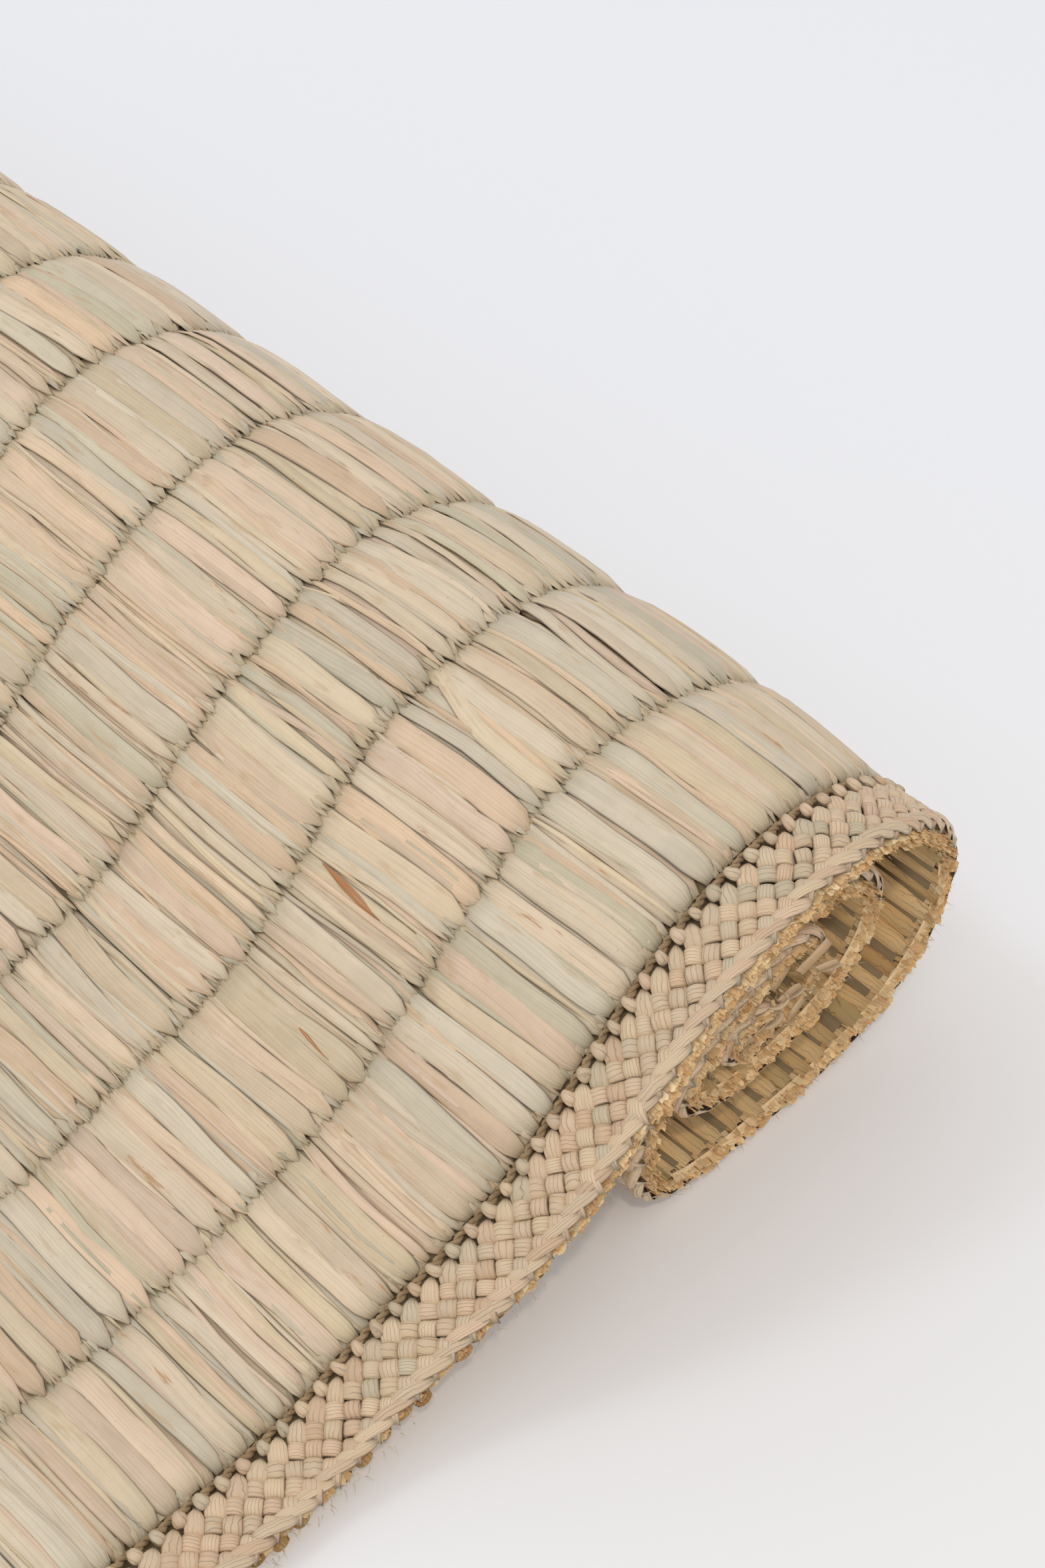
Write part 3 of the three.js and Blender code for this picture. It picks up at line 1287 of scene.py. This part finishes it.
    def lining(self, cell: int) -> FlatMesh:
        """Lays out one cell's inner face, one rounded bundle beside another."""
        rng = self.rng
        places = self.bundle_places(cell, 0, self.length)
        n = len(places)
        half, offset, lift = rng.uniform(3.7, 4.9, n), rng.normal(0, 0.6, n), rng.normal(-0.3, 0.3, n)
        batch = self.batch(cell, places, half, offset, lift, 0.0)
        batch.face, batch.swell, batch.pillow, batch.crown = -1.0, self.sizes.half, 0.0, self.lining_crown
        reach = self.sizes.border_width - 1.0
        cut = {"height": 6.2, "tip": 0.8, "pinch": 0.95, "point": 1.0, "taper": 4.0, "rise": 2.0}
        if cell == 0:
            y = batch.near.y - reach + rng.uniform(-2.0, 2.0, n)
            batch.near = LeafEnds(s=batch.near.s, y=y, **cut)
        if cell == self.last:
            y = batch.far.y + reach - rng.uniform(-2.0, 2.0, n)
            batch.far = LeafEnds(s=batch.far.s, y=y, **cut)
        rows, columns = (9, 7) if cell in (0, self.last) else (6, 4)
        return batch.lay(rows, columns, rng)


@dataclass
class EdgeWork:
    """What lies along one side edge of the mat."""

    sizes: MatSizes
    length: float
    border: Border

    def across(self, inset: Each) -> Each:
        """Turns a distance out from the end row into a place across the mat."""
        return self.border.value * (self.sizes.inner_width / 2 + inset)


@dataclass
class PlaitedBorder(EdgeWork):
    """A bias plait of split leaf on one border's outer face, with its rope-like rim."""

    rng: np.random.Generator
    rows: int = 5
    first_row: float = 8.0
    row_pitch: float = 4.55
    patch_length: float = 10.4
    patch_width: float = 6.7
    patch_height: float = 5.9
    patch_grid: tuple[int, int] = (9, 7)
    rim_length: float = 19.0
    rim_grid: tuple[int, int] = (12, 6)

    def strands(
        self, places: tuple[Array, ...], run: Array, side: Array, v: Array, tone: Array, hue: Array
    ) -> FlatMesh:
        """Turns grids of strand points into a layout.

        Args:
            places: Places along the mat, distances out from the end row, and heights.
            run: Places along the strand.
            side: Places across it.
            v: Places across it, from -1 to 1.
            tone: Each strand's tone.
            hue: Each strand's hue.

        Returns:
            The layout.
        """
        s, inset, out = places
        jump = Draws(self.rng, len(tone)).between(0, 40)
        vein = side * 0.1 + jump
        # The end mark falls towards both ends of each strand, where the finish paints shade as the strand
        # goes under its neighbours.
        from_tip = 1 - np.abs(np.linspace(-1, 1, s.shape[1]))
        end = np.clip(from_tip * 2.6, 0, 1)[None, :, None]
        marks = {"tone": column(tone), "hue": column(hue), "end": end, "vein": vein, "side": v}
        uv = (vein, run * 0.1 + jump * 2.3)
        return grids(s.shape, (s, self.across(inset), out), uv, marks, self.border is Border.NEAR)

    def weave(self) -> FlatMesh:
        """Lays out the plait's crossings, row by row, each leaning the other way."""
        pitch = self.sizes.bundle_pitch
        parts = []
        count = int(self.length / pitch)
        strand_tone = self.rng.uniform(0, 1, (2, count + 12))
        strand_hue = self.rng.uniform(0, 1, (2, count + 12))
        for row in range(self.rows):
            place = (np.arange(count) + 0.5 + 0.5 * (row % 2)) * pitch
            inset = np.full(count, self.first_row + row * self.row_pitch + (0.9 if row == 0 else 0.0))
            way = 1.0 if row % 2 == 0 else -1.0
            strand = np.arange(count) + (row // 2 if way > 0 else 8 - row // 2)
            tone = 0.7 * strand_tone[row % 2][strand] + 0.3 * self.rng.uniform(0, 1, count)
            hue = np.clip(strand_hue[row % 2][strand] + self.rng.normal(0, 0.06, count), 0, 1)
            parts.append(self.patches(place, inset, way, tone, hue, first=row == 0))
        return FlatMesh.join(parts)

    def patches(
        self, place: Array, inset: Array, way: float, tone: Array, hue: Array, first: bool
    ) -> FlatMesh:
        """Lays out one row of crossings.

        Args:
            place: The crossings' places along the mat.
            inset: Their distances out from the end row.
            way: 1 where they lean towards the end row as they go along the mat, or -1.
            tone: Each one's tone.
            hue: Each one's hue.
            first: Whether this is the row of tongues beside the knots.

        Returns:
            The row's layout.
        """
        draws, (rows, columns) = Draws(self.rng, len(place)), self.patch_grid
        t, v = np.linspace(-1, 1, rows)[None, :, None], from_edges(columns)
        long = self.patch_length * (1.12 if first else 1.0) / 2 * draws.around(0.05, 1.0)
        wide = self.patch_width / 2 * draws.around(0.07, 1.0)
        taper = 1 - 0.2 * np.abs(t) ** 2.5
        drop = 4.9 * np.abs(t) ** 2.4
        if first:
            taper = np.where(t > 0, 1.15 - 0.8 * np.abs(t) ** 2.0, 1.15 + 0.1 * t)
            drop = np.where(t > 0, 1.9 * np.abs(t) ** 2.5, drop)
        angle = np.radians(45.0) + draws.around(0.07)
        run, side = t * long + draws.around(0.25), v * wide * taper
        s = column(place) + (run * np.cos(angle) + side * np.sin(angle) * way)
        depth = column(inset) + (-run * np.sin(angle) * way + side * np.cos(angle))
        crown = 0.6 * (1 - v * v) - 1.1 * np.abs(v) ** 9
        ribs = 0.16 * np.cos(3.0 * np.pi * v + draws.between(0, 6))
        out = self.patch_height - drop + crown + ribs + draws.around(0.15)
        return self.strands((s, depth, out), run, side, v, tone, hue)

    def rim(self) -> FlatMesh:
        """Lays out the rim's slanted turns, each lying over the next like a rope's."""
        rng, pitch, (rows, columns) = self.rng, self.sizes.bundle_pitch, self.rim_grid
        draws = Draws(rng, int(self.length / pitch))
        place = (np.arange(draws.count) - 0.6) * pitch + rng.normal(0, 0.4, draws.count)
        t, v = np.linspace(0, 1, rows)[None, :, None], from_edges(columns)
        wide = draws.between(2.4, 3.0) * (1 - 0.75 * np.abs(2 * t - 1) ** 2.6)
        start = self.first_row + (self.rows - 1.25) * self.row_pitch
        edge = self.sizes.border_width - 1.0
        depth = start + (edge - start) * t**0.9 + draws.around(0.25)
        run = self.rim_length * t
        slope = math.atan2(edge - start, self.rim_length)
        s = column(place) + run - v * wide * np.sin(slope)
        depth = depth + v * wide * np.cos(slope) * 0.9
        arch = np.sin(np.pi * np.clip(t * 0.94 + 0.03, 0, 1)) ** 0.6
        fall = 0.8 * np.clip(depth - edge + 0.8, 0, 9) ** 1.5
        ribs = 0.14 * np.cos(3.2 * np.pi * v + draws.between(0, 6))
        out = 1.6 + 3.4 * arch + 1.3 * (1 - v * v) + ribs + 0.7 * (1 - t) - fall + draws.around(0.25)
        tone, hue = rng.uniform(0, 1, draws.count), rng.uniform(0.15, 1, draws.count)
        return self.strands((s, depth, out), run, v * wide, v, tone, hue)


@dataclass
class CutEnds(EdgeWork):
    """The trimmed leaf ends and spongy pith that show below one border's rim."""

    rng: np.random.Generator
    layers: tuple[float, ...] = (1.4, 0.5, -0.4, -1.3, -2.2, -3.1, -4.0)
    tail_inset: float = 3.0
    tail_ease: tuple[float, float] = (430.0, 590.0)
    stub_length: float = 6.0
    stub_grid: tuple[int, int] = (3, 4)
    pith_step: float = 1.4
    pith_columns: int = 11
    pith_inset: float = 2.2

    def stubs(self) -> FlatMesh:
        """Lays out short flat leaf ends in layers, each cut off at its own length."""
        rng = self.rng
        parts = []
        for level, height in enumerate(self.layers):
            pitch = 2.7 + 0.1 * level
            count = int(self.length / pitch)
            place = (np.arange(count) + rng.uniform(0.2, 0.8)) * pitch + rng.normal(0, 0.7, count)
            parts.append(self.layer(place, height))
        return FlatMesh.join(parts)

    def held_back(self, place: Array) -> Array:
        """Works out how much further in the cut ends lie on the tail, under the folded rim."""
        return self.tail_inset * (1 - eased(place, *self.tail_ease))

    def layer(self, place: Array, height: float) -> FlatMesh:
        """Lays out one layer of leaf ends.

        Args:
            place: The ends' places along the mat.
            height: The layer's height from the cloth's middle.

        Returns:
            The layer.
        """
        draws, (rows, columns) = Draws(self.rng, len(place)), self.stub_grid
        t = np.linspace(0, 1, rows)[None, :, None]
        v = np.linspace(-1, 1, columns)[None, None, :]
        wide = draws.between(0.9, 2.5)
        waves = 0.9 * np.sin(place / 5.0) * np.sin(place / 17.0)
        reach = draws.between(-1.0, 1.9) + column(waves)
        ragged = self.rng.uniform(-0.8, 0.8, (draws.count, 1, columns)) * t**3
        inner = self.sizes.inner_width / 2 + self.sizes.border_width - self.stub_length
        depth = inner - column(self.held_back(place)) + (self.stub_length + reach) * t + ragged
        s = column(place) + v * wide + draws.around(1.1) * t
        bent = height + draws.around(0.6) * v**2 + draws.around(0.7) * t**2
        out = np.clip(bent, -self.sizes.seat_inner + 0.4, 1.8)
        jump = draws.between(0, 40)
        vein = v * wide * 0.1 + jump
        tone, hue = draws.between(0, 1), draws.between(0, 1)
        # The end mark runs from 0.35 at a stub's inner end to 1 at its cut, so the finish paints the stubs
        # darker deeper in: painted shade.
        marks = {"tone": tone, "hue": hue, "end": 0.35 + 0.65 * t, "vein": vein, "side": v}
        places = (s, self.border.value * depth, out)
        return grids((draws.count, rows, columns), places, (vein, depth * 0.1 + jump), marks)

    def pith(self) -> FlatMesh:
        """Lays out the broken, spongy face that closes the edge."""
        rows, columns = int(self.length / self.pith_step), self.pith_columns
        s = np.linspace(0, self.length, rows)[None, :, None]
        v = np.linspace(0, 1, columns)[None, None, :]
        top, bottom = self.sizes.seat_outer + 0.5, 0.9 - self.sizes.seat_inner
        out = top + (bottom - top) * v
        swell = np.sin(np.pi * v) ** 0.6
        crumb = self.rng.normal(0, 0.3, (1, rows, columns))
        crumb = crumb + 0.45 * np.sin(s / 3.1) * np.sin(s / 1.3 + 5 * v)
        depth = self.sizes.inner_width / 2 + self.sizes.border_width - self.pith_inset
        depth = depth + (1.3 + crumb) * swell
        depth = depth - self.held_back(s)
        marks = dict.fromkeys(("tone", "hue", "end", "vein", "side"), 0.0)
        places = (s, self.border.value * depth, out)
        return grids((1, rows, columns), places, (s * 0.1, out * 0.1), marks, self.border is Border.FAR)

    def fibre_points(self, count: int) -> bpy.types.Mesh:
        """Scatters the places where loose fibres stand out of the cut ends."""
        rng = self.rng
        s = np.where(rng.random(count) < 0.75, 1, 0) * rng.uniform(0, self.length, count)
        s = np.where(s > 0, s, self.length - rng.uniform(0, 170, count))
        depth = self.sizes.inner_width / 2 + self.sizes.border_width + rng.uniform(-0.5, 2.6, count)
        out = rng.uniform(-self.sizes.seat_inner, 1.0, count)
        return point_mesh("fibre_points", np.stack([s, self.border.value * depth, out], axis=1))


@dataclass
class LeafKnots(EdgeWork):
    """The small leaf-wrapped knots in a row beside the twine."""

    inset: float = 3.9
    lift: float = 5.2

    def bead(self) -> bpy.types.Mesh:
        """Makes one knot: a small pillow, creased along and drawn in at its outer end.

        Returns:
            Its mesh, in metres.
        """
        rings, sides = 8, 12
        rows = []
        for i in range(rings):
            t = i / (rings - 1)
            polar = math.pi * t
            girth = math.sin(polar) ** 0.62 * (1.0 - 0.28 * t)
            for j in range(sides):
                angle = 2 * math.pi * j / sides
                crease = 1 + 0.07 * math.cos(4 * angle + 1.0)
                x = 2.7 * girth * math.cos(angle) * crease
                z = 2.5 * girth * math.sin(angle) * crease
                rows.append((x, -3.4 * math.cos(polar), z))
        points = np.array(rows)
        turn = np.arctan2(points[:, 2], points[:, 0])
        uv = np.stack([turn * 0.3, points[:, 1] * 0.1], axis=1)
        # The end mark falls towards both ends of the knot, so the finish darkens them: painted shade.
        marks = {"end": np.clip(1.1 - np.abs(points[:, 1]) / 5.5, 0, 1), "vein": uv[:, 0]}
        marks["side"] = turn / math.pi
        return FlatMesh(points, tube_faces(rings, sides), uv, marks).mesh("leaf_knot")

    def places(self) -> bpy.types.Mesh:
        """Makes the points that the knots stand on, one to a bundle."""
        pitch = self.sizes.bundle_pitch
        count = int(self.length / pitch)
        s = (np.arange(count) + 0.27) * pitch
        y, lift = np.full(count, self.across(self.inset)), np.full(count, self.lift)
        return point_mesh("knot_places", np.stack([s, y, lift], axis=1))


@dataclass
class PackedGround:
    """The packed rush under the leaves, one closed sheet on the mat's whole form; its dark finish is
    painted shade that shows in the gaps between leaves and strands.
    """

    sizes: MatSizes
    length: float
    shrink: float = 2.6
    step: float = 9.0

    def profile(self) -> Array:
        """Works out the rows across the mat.

        Returns:
            Rows of place, outer height and inner height.
        """
        sizes = self.sizes
        rows = [(-sizes.width / 2 + 5.0, sizes.seat_outer - 0.2, 4.8)]
        rows.append((-sizes.inner_width / 2 - 0.5, sizes.seat_outer - 0.1, 4.4))
        for low, width in zip(sizes.rows, sizes.cell_widths):
            for share in (0.0, 0.08, 0.2, 0.5, 0.8, 0.92):
                swell = math.sin(math.pi * share) ** 0.35 if share else 0.0
                height = 0.4 + (sizes.half - self.shrink - 0.4) * swell
                rows.append((low + share * width, height, height))
        rows.append((sizes.inner_width / 2 + 0.5, sizes.seat_outer - 0.1, 4.4))
        rows.append((sizes.width / 2 - 5.0, sizes.seat_outer - 0.2, 4.8))
        return np.array(rows)

    def lay(self) -> FlatMesh:
        """Lays out both faces and the edges between them."""
        rows = self.profile()
        ring_y = np.concatenate([rows[:, 0], rows[::-1, 0]])
        ring_out = np.concatenate([-rows[:, 2], rows[::-1, 1]])
        count, ring = int(self.length / self.step) + 1, len(ring_y)
        s = np.linspace(0.5, self.length - 0.5, count)
        points = np.stack([np.repeat(s, ring), np.tile(ring_y, count), np.tile(ring_out, count)], axis=1)
        k = np.arange(ring // 2 - 1)
        cap = np.stack([k, ring - 1 - k, ring - 2 - k, k + 1], axis=1)
        faces = np.vstack([tube_faces(count, ring), cap, cap[:, ::-1] + (count - 1) * ring])
        blank = np.zeros(len(points))
        return FlatMesh(points, faces, points[:, :2] * 0.1, {"tone": blank})


@dataclass(frozen=True)
class Curl:
    """A curled leaf tip: its arc's centre, radius and angles in degrees, in millimetres in the frame."""

    x: float
    z: float
    radius: float
    begin: float
    stop: float
    width: float
    stand: float


CURLS = (
    Curl(274, 84, 10.0, 165, -60, 3.4, 8.0),
    Curl(278, 76, 6.0, 130, -160, 2.8, 9.0),
    Curl(258, 87, 6.0, 190, -40, 3.2, 5.0),
    Curl(263, 73, 5.5, 160, -180, 2.8, 5.5),
    Curl(251, 67, 6.5, 80, -150, 3.0, 4.5),
    Curl(268, 62, 5.0, 200, -90, 2.6, 5.5),
    Curl(246, 80, 5.0, 230, -30, 3.0, 4.0),
    Curl(241, 60, 5.5, 120, -140, 2.8, 3.5),
    Curl(255, 77, 4.0, 60, -240, 2.6, 5.0),
    Curl(236, 68, 4.5, 250, -20, 2.6, 3.5),
)


@dataclass
class CoreTuft:
    """The curled and broken leaf tips that stand out of the coil's core at the near end."""

    sizes: MatSizes
    rng: np.random.Generator

    def lay(self) -> FlatMesh:
        """Works out the curls where they stand in the frame, one grid to a curl."""
        return FlatMesh.join([self.curl(curl) for curl in CURLS])

    def curl(self, curl: Curl) -> FlatMesh:
        """Works out one curl, its radius closing in towards its tip."""
        rows, columns = 18, 5
        t = np.linspace(0, 1, rows)[None, :, None]
        v = np.linspace(-1, 1, columns)[None, None, :]
        angle = np.radians(curl.begin + (curl.stop - curl.begin) * t)
        radius = curl.radius * (1 - 0.4 * t**2) + 0.5 * v**2
        half = 0.5 * curl.width * (1 - 0.85 * t**4)
        edge = -self.sizes.width / 2 - curl.stand * np.sin(np.pi * np.clip(t + 0.25, 0, 1)) + 3.0
        places = (curl.x + radius * np.cos(angle), edge + v * half, curl.z + radius * np.sin(angle))
        vein = v * curl.width * 0.05 + curl.x
        # Tones mostly above 1 make the curls lighter than the leaf palette gives: painted light against the
        # shade inside the coil.
        tone, hue = self.rng.uniform(0.9, 1.5), self.rng.uniform(0.3, 0.5)
        marks = {"tone": tone, "hue": hue, "end": 1.0, "vein": vein, "side": v}
        return grids((1, rows, columns), places, (vein, t * curl.radius * 0.3 + curl.z), marks)


def splinter() -> bpy.types.Mesh:
    """Makes one loose fibre: a thin, bent, three-sided sliver, in metres."""
    rings, sides = 5, 3
    rows = []
    for i in range(rings):
        t = i / (rings - 1)
        radius = 0.14 * (1 - 0.85 * t)
        for j in range(sides):
            angle = 2 * math.pi * j / sides
            bend, rise = 0.9 * t * t, 0.5 * t * t
            rows.append((bend + radius * math.cos(angle), 5.0 * t, radius * math.sin(angle) + rise))
    points = np.array(rows)
    marks = {"end": np.zeros(len(points))}
    return FlatMesh(points, tube_faces(rings, sides), points[:, :2], marks).mesh("splinter")


@dataclass(frozen=True)
class SoftLight:
    """A square light that points at the origin: its place and side in metres, its power in watts."""

    name: str
    place: Triple
    size: float
    power: float
    tint: Colour

    def build(self) -> None:
        """Adds the light to the scene."""
        data = bpy.data.lights.new(self.name, "AREA")
        data.size, data.energy, data.color = self.size, self.power, self.tint
        light = bpy.data.objects.new(self.name, data)
        aim = (-Vector(self.place)).to_track_quat("-Z", "Y")
        light.matrix_world = Matrix.Translation(self.place) @ aim.to_matrix().to_4x4()
        bpy.context.scene.collection.objects.link(light)


LIGHTS = (
    SoftLight("warm_lamp", (-1.3, -2.1, 4.4), 0.24, 36.0, (1.0, 0.8, 0.62)),
    SoftLight("window", (-1.5, 2.4, 4.4), 1.2, 33.0, (0.75, 0.88, 1.0)),
)


@dataclass
class Studio:
    """The pale floor, the soft lights and the camera of the photograph."""

    focal_pixels: float = 4046.6
    image: tuple[int, int] = (1568, 2352)
    place: tuple[float, float, float] = (-228.5, -824.1, 816.0)
    elevation: float = 46.22
    heading: float = 44.25
    bank: float = 0.3
    floor_reach: float = 6.0
    floor_height: float = -0.0004
    floor_light_tints: tuple[Colour, Colour] = ((0.865, 0.85, 0.84), (0.84, 0.85, 0.88))
    air: Colour = (0.965, 0.98, 1.0)
    air_strength: float = 0.765

    def camera(self) -> None:
        """Places the camera where the photograph was taken from."""
        e, h = math.radians(self.elevation), math.radians(self.heading)
        level = Vector((math.cos(h), -math.sin(h), 0.0))
        forward = Vector((math.cos(e) * math.sin(h), math.cos(e) * math.cos(h), -math.sin(e)))
        turn = Matrix.Rotation(math.radians(self.bank), 3, forward)
        right, down = turn @ level, turn @ forward.cross(level)
        data = bpy.data.cameras.new("photo_camera")
        data.sensor_fit = "VERTICAL"
        data.sensor_height = 36.0
        data.lens = 36.0 * self.focal_pixels / self.image[1]
        data.clip_start, data.clip_end = 0.05, 20.0
        camera = bpy.data.objects.new("photo_camera", data)
        facing = Matrix((right, -down, -forward)).transposed().to_4x4()
        camera.matrix_world = Matrix.Translation(Vector(self.place) * MM) @ facing
        bpy.context.scene.collection.objects.link(camera)
        bpy.context.scene.camera = camera

    def floor(self) -> None:
        """Makes the plain pale floor, its colour a little warmer towards the viewer and cooler away from it
        as painted light, with a faint glow of its own that lifts its shadows, also painted light.
        """
        mesh = bpy.data.meshes.new("studio_floor")
        reach, height = self.floor_reach, self.floor_height
        corners = ((-reach, -reach), (reach, -reach), (reach, reach), (-reach, reach))
        mesh.from_pydata([(x, y, height) for x, y in corners], [], [(0, 1, 2, 3)])
        floor = placed("studio_floor", mesh)
        material, graph = blank_material("floor_paper")
        x, y, _ = graph.split(graph.term("ShaderNodeTexCoord", None, "Object"))
        # Warmer towards the viewer and cooler away from it: painted warm and cool light.
        away = (x * 0.6 + y).between(-0.9, 0.35)
        tint = graph.term("ShaderNodeValToRGB", {0: away}, stops=tuple(enumerate(self.floor_light_tints)))
        # A faint glow of the floor's own: painted light that lifts its shadows.
        painted_glow = {"Emission Color": tint, "Emission Strength": 0.075}
        graph.surface({"Base Color": tint, "Roughness": 0.75, **painted_glow})
        mesh.materials.append(material)

    def world(self) -> None:
        """Sets the even light all round."""
        world = bpy.data.worlds.new("studio_air")
        world.use_nodes = True
        shade = world.node_tree.nodes["Background"]
        shade.inputs["Color"].default_value = (*self.air, 1.0)
        shade.inputs["Strength"].default_value = self.air_strength
        bpy.context.scene.world = world

    def build(self) -> None:
        """Makes the whole studio."""
        bpy.context.scene.view_settings.view_transform = "Standard"
        self.camera()
        self.floor()
        self.world()
        for light in LIGHTS:
            light.build()


FIBRE_COUNT = 900


@dataclass
class RolledMat:
    """The whole mat, built piece by piece and wound on its path."""

    sizes: MatSizes
    seed: int = 41

    def build(self) -> list[bpy.types.Object]:
        """Builds every piece.

        Returns:
            The finished pieces, the sheet that carries the others first.
        """
        low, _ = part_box("rush_body")
        shift = low[0] / MM - (WINDING[0].x - self.sizes.tail_flat)
        self.path = ClothPath(self.sizes, shift)
        guide = self.path.guide()
        self.trees = WindingTrees(self.path, guide)
        self.laid = self.trees.laid_tree()
        self.scatter = self.trees.scatter_tree()
        self.twine = self.trees.twine_tree()
        ground = PackedGround(self.sizes, self.path.length).lay()
        pieces = [self.wound("packed_ground", ground, SHADE_GROUND.build())]
        pieces += self.rush()
        wanted = {"leaf": BORDER_LEAF, "cut": CUT_LEAF, "jute": JUTE, "pith": PITH, "fibre": FIBRE}
        self.finishes = {key: finish.build() for key, finish in wanted.items()}
        for border in Border:
            pieces += self.edge(border)
        tuft = CoreTuft(self.sizes, np.random.default_rng(self.seed)).lay().mesh("core_tuft_near")
        tuft.materials.append(self.finishes["leaf"])
        pieces.append(placed("core_tuft_near", tuft))
        bpy.data.objects.remove(guide)
        return pieces

    def wound(self, name: str, flat: FlatMesh, finish: bpy.types.Material) -> bpy.types.Object:
        """Winds one layout and reports it."""
        source = placed(f"{name}_flat", flat.mesh(f"{name}_flat"))
        piece = self.trees.apply(source, self.laid, name, finish)
        LOG.info("%s: %d faces", name, len(piece.data.polygons))
        return piece

    def scattered(
        self,
        name: str,
        part: bpy.types.Mesh,
        spots: bpy.types.Mesh,
        finish: str,
        seed: int,
        limits: tuple[Triple, ...],
    ) -> bpy.types.Object:
        """Sets a small part on every point and winds them.

        Args:
            name: The piece's name.
            part: The small part.
            spots: The points, laid out flat.
            finish: Which finish it has.
            seed: What its turns and sizes are drawn from.
            limits: The lowest and highest turn and the lowest and highest scale.

        Returns:
            The piece.
        """
        source = placed(part.name, part)
        values = {"Part": source, **dict(zip(SCATTER_LIMITS, limits)), "Seed": seed}
        row = placed(spots.name, spots)
        piece = self.trees.apply(row, self.scatter, name, self.finishes[finish], values)
        bpy.data.objects.remove(source)
        return piece

    def rush(self) -> list[bpy.types.Object]:
        """Builds the cells of leaves in groups, and their lining."""
        rng = np.random.default_rng(self.seed)
        cells = RushCells(self.sizes, self.path.length, rng)
        face_leaf, lining_leaf = FACE_LEAF.build(), LINING_LEAF.build()
        groups = ((0, 1, 2), (3, 4, 5), (6, 7, 8), (9, 10))
        pieces = []
        for number, group in enumerate(groups, start=1):
            flat = FlatMesh.join([cells.cell(cell) for cell in group])
            pieces.append(self.wound(f"rush_cells_{number}", flat, face_leaf))
        lining = FlatMesh.join([cells.lining(cell) for cell in range(cells.last + 1)])
        pieces.append(self.wound("rush_lining", lining, lining_leaf))
        return pieces

    def edge(self, border: Border) -> list[bpy.types.Object]:
        """Builds everything along one border.

        Args:
            border: Which border.

        Returns:
            The border's pieces.
        """
        sizes, length, label, looks = self.sizes, self.path.length, border.label, self.finishes
        rng = np.random.default_rng(self.seed + 7 * border.value)
        plait = PlaitedBorder(sizes, length, border, rng)
        cut = CutEnds(sizes, length, border, rng)
        knots = LeafKnots(sizes, length, border)
        pieces = [
            self.wound(f"plait_{label}", FlatMesh.join([plait.weave(), plait.rim()]), looks["leaf"]),
            self.wound(f"cut_stubs_{label}", cut.stubs(), looks["cut"]),
            self.wound(f"cut_pith_{label}", cut.pith(), looks["pith"]),
        ]
        turns = ((-0.15, -0.3, -0.45), (0.15, 0.3, 0.25))
        fibre_turns = ((-0.7, -0.6, math.pi - 1.0), (0.7, 0.6, math.pi + 1.0))
        if border is Border.FAR:
            turns = ((-0.15, -0.3, math.pi - 0.25), (0.15, 0.3, math.pi + 0.45))
            fibre_turns = ((-0.7, -0.6, -1.0), (0.7, 0.6, 1.0))
        limits = (*turns, (0.85, 0.85, 0.85), (1.15, 1.12, 1.15))
        name, seed = f"leaf_knots_{label}", 11 + border.value
        pieces.append(self.scattered(name, knots.bead(), knots.places(), "leaf", seed, limits))
        limits = (*fibre_turns, (0.7, 0.25, 0.7), (1.6, 1.0, 1.6))
        name, seed, spots = f"loose_fibres_{label}", 23 + border.value, cut.fibre_points(FIBRE_COUNT)
        pieces.append(self.scattered(name, splinter(), spots, "fibre", seed, limits))
        start = placed("twine_start", bpy.data.meshes.new("twine_start"))
        measures = {
            "Length": length,
            "Step": 1.1,
            "Across": knots.across(1.7),
            "Lift": 4.2,
            "Thread radius": 0.9,
            "Ply radius": 0.8,
            "Lay": 7.0,
            "Wave pitch": sizes.bundle_pitch,
            "Wave": 1.2,
        }
        values = {key: measure * MM for key, measure in measures.items()}
        pieces.append(self.trees.apply(start, self.twine, f"jute_{label}", looks["jute"], values))
        return pieces

    def declare(self, pieces: list[bpy.types.Object]) -> None:
        """Attaches every piece to the root body and hides the model's parts that the pieces replace.

        Args:
            pieces: The finished pieces, the carrying sheet first.
        """
        for piece in pieces:
            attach(piece, "root")
            name = piece.name
            if name.startswith("jute"):
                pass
            elif name.startswith(("plait", "leaf_knots", "cut", "loose")):
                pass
            else:
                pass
        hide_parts("rush_body")
        for piece in pieces:
            for label in ("near", "far"):
                if piece.name == f"plait_{label}":
                    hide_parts(f"plait_border_{label}")
                if piece.name == f"jute_{label}":
                    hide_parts(f"jute_twine_{label}")


def main() -> None:
    """Builds the mat and the studio."""
    logging.basicConfig(level=logging.INFO, format="%(message)s")
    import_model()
    mat = RolledMat(MatSizes())
    pieces = mat.build()
    mat.declare(pieces)
    Studio().build()
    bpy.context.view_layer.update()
    faces = sum(len(p.data.loop_triangles) or len(p.data.polygons) * 2 for p in pieces)
    LOG.info("all pieces: about %d triangles", faces)


if __name__ == "__main__":
    main()
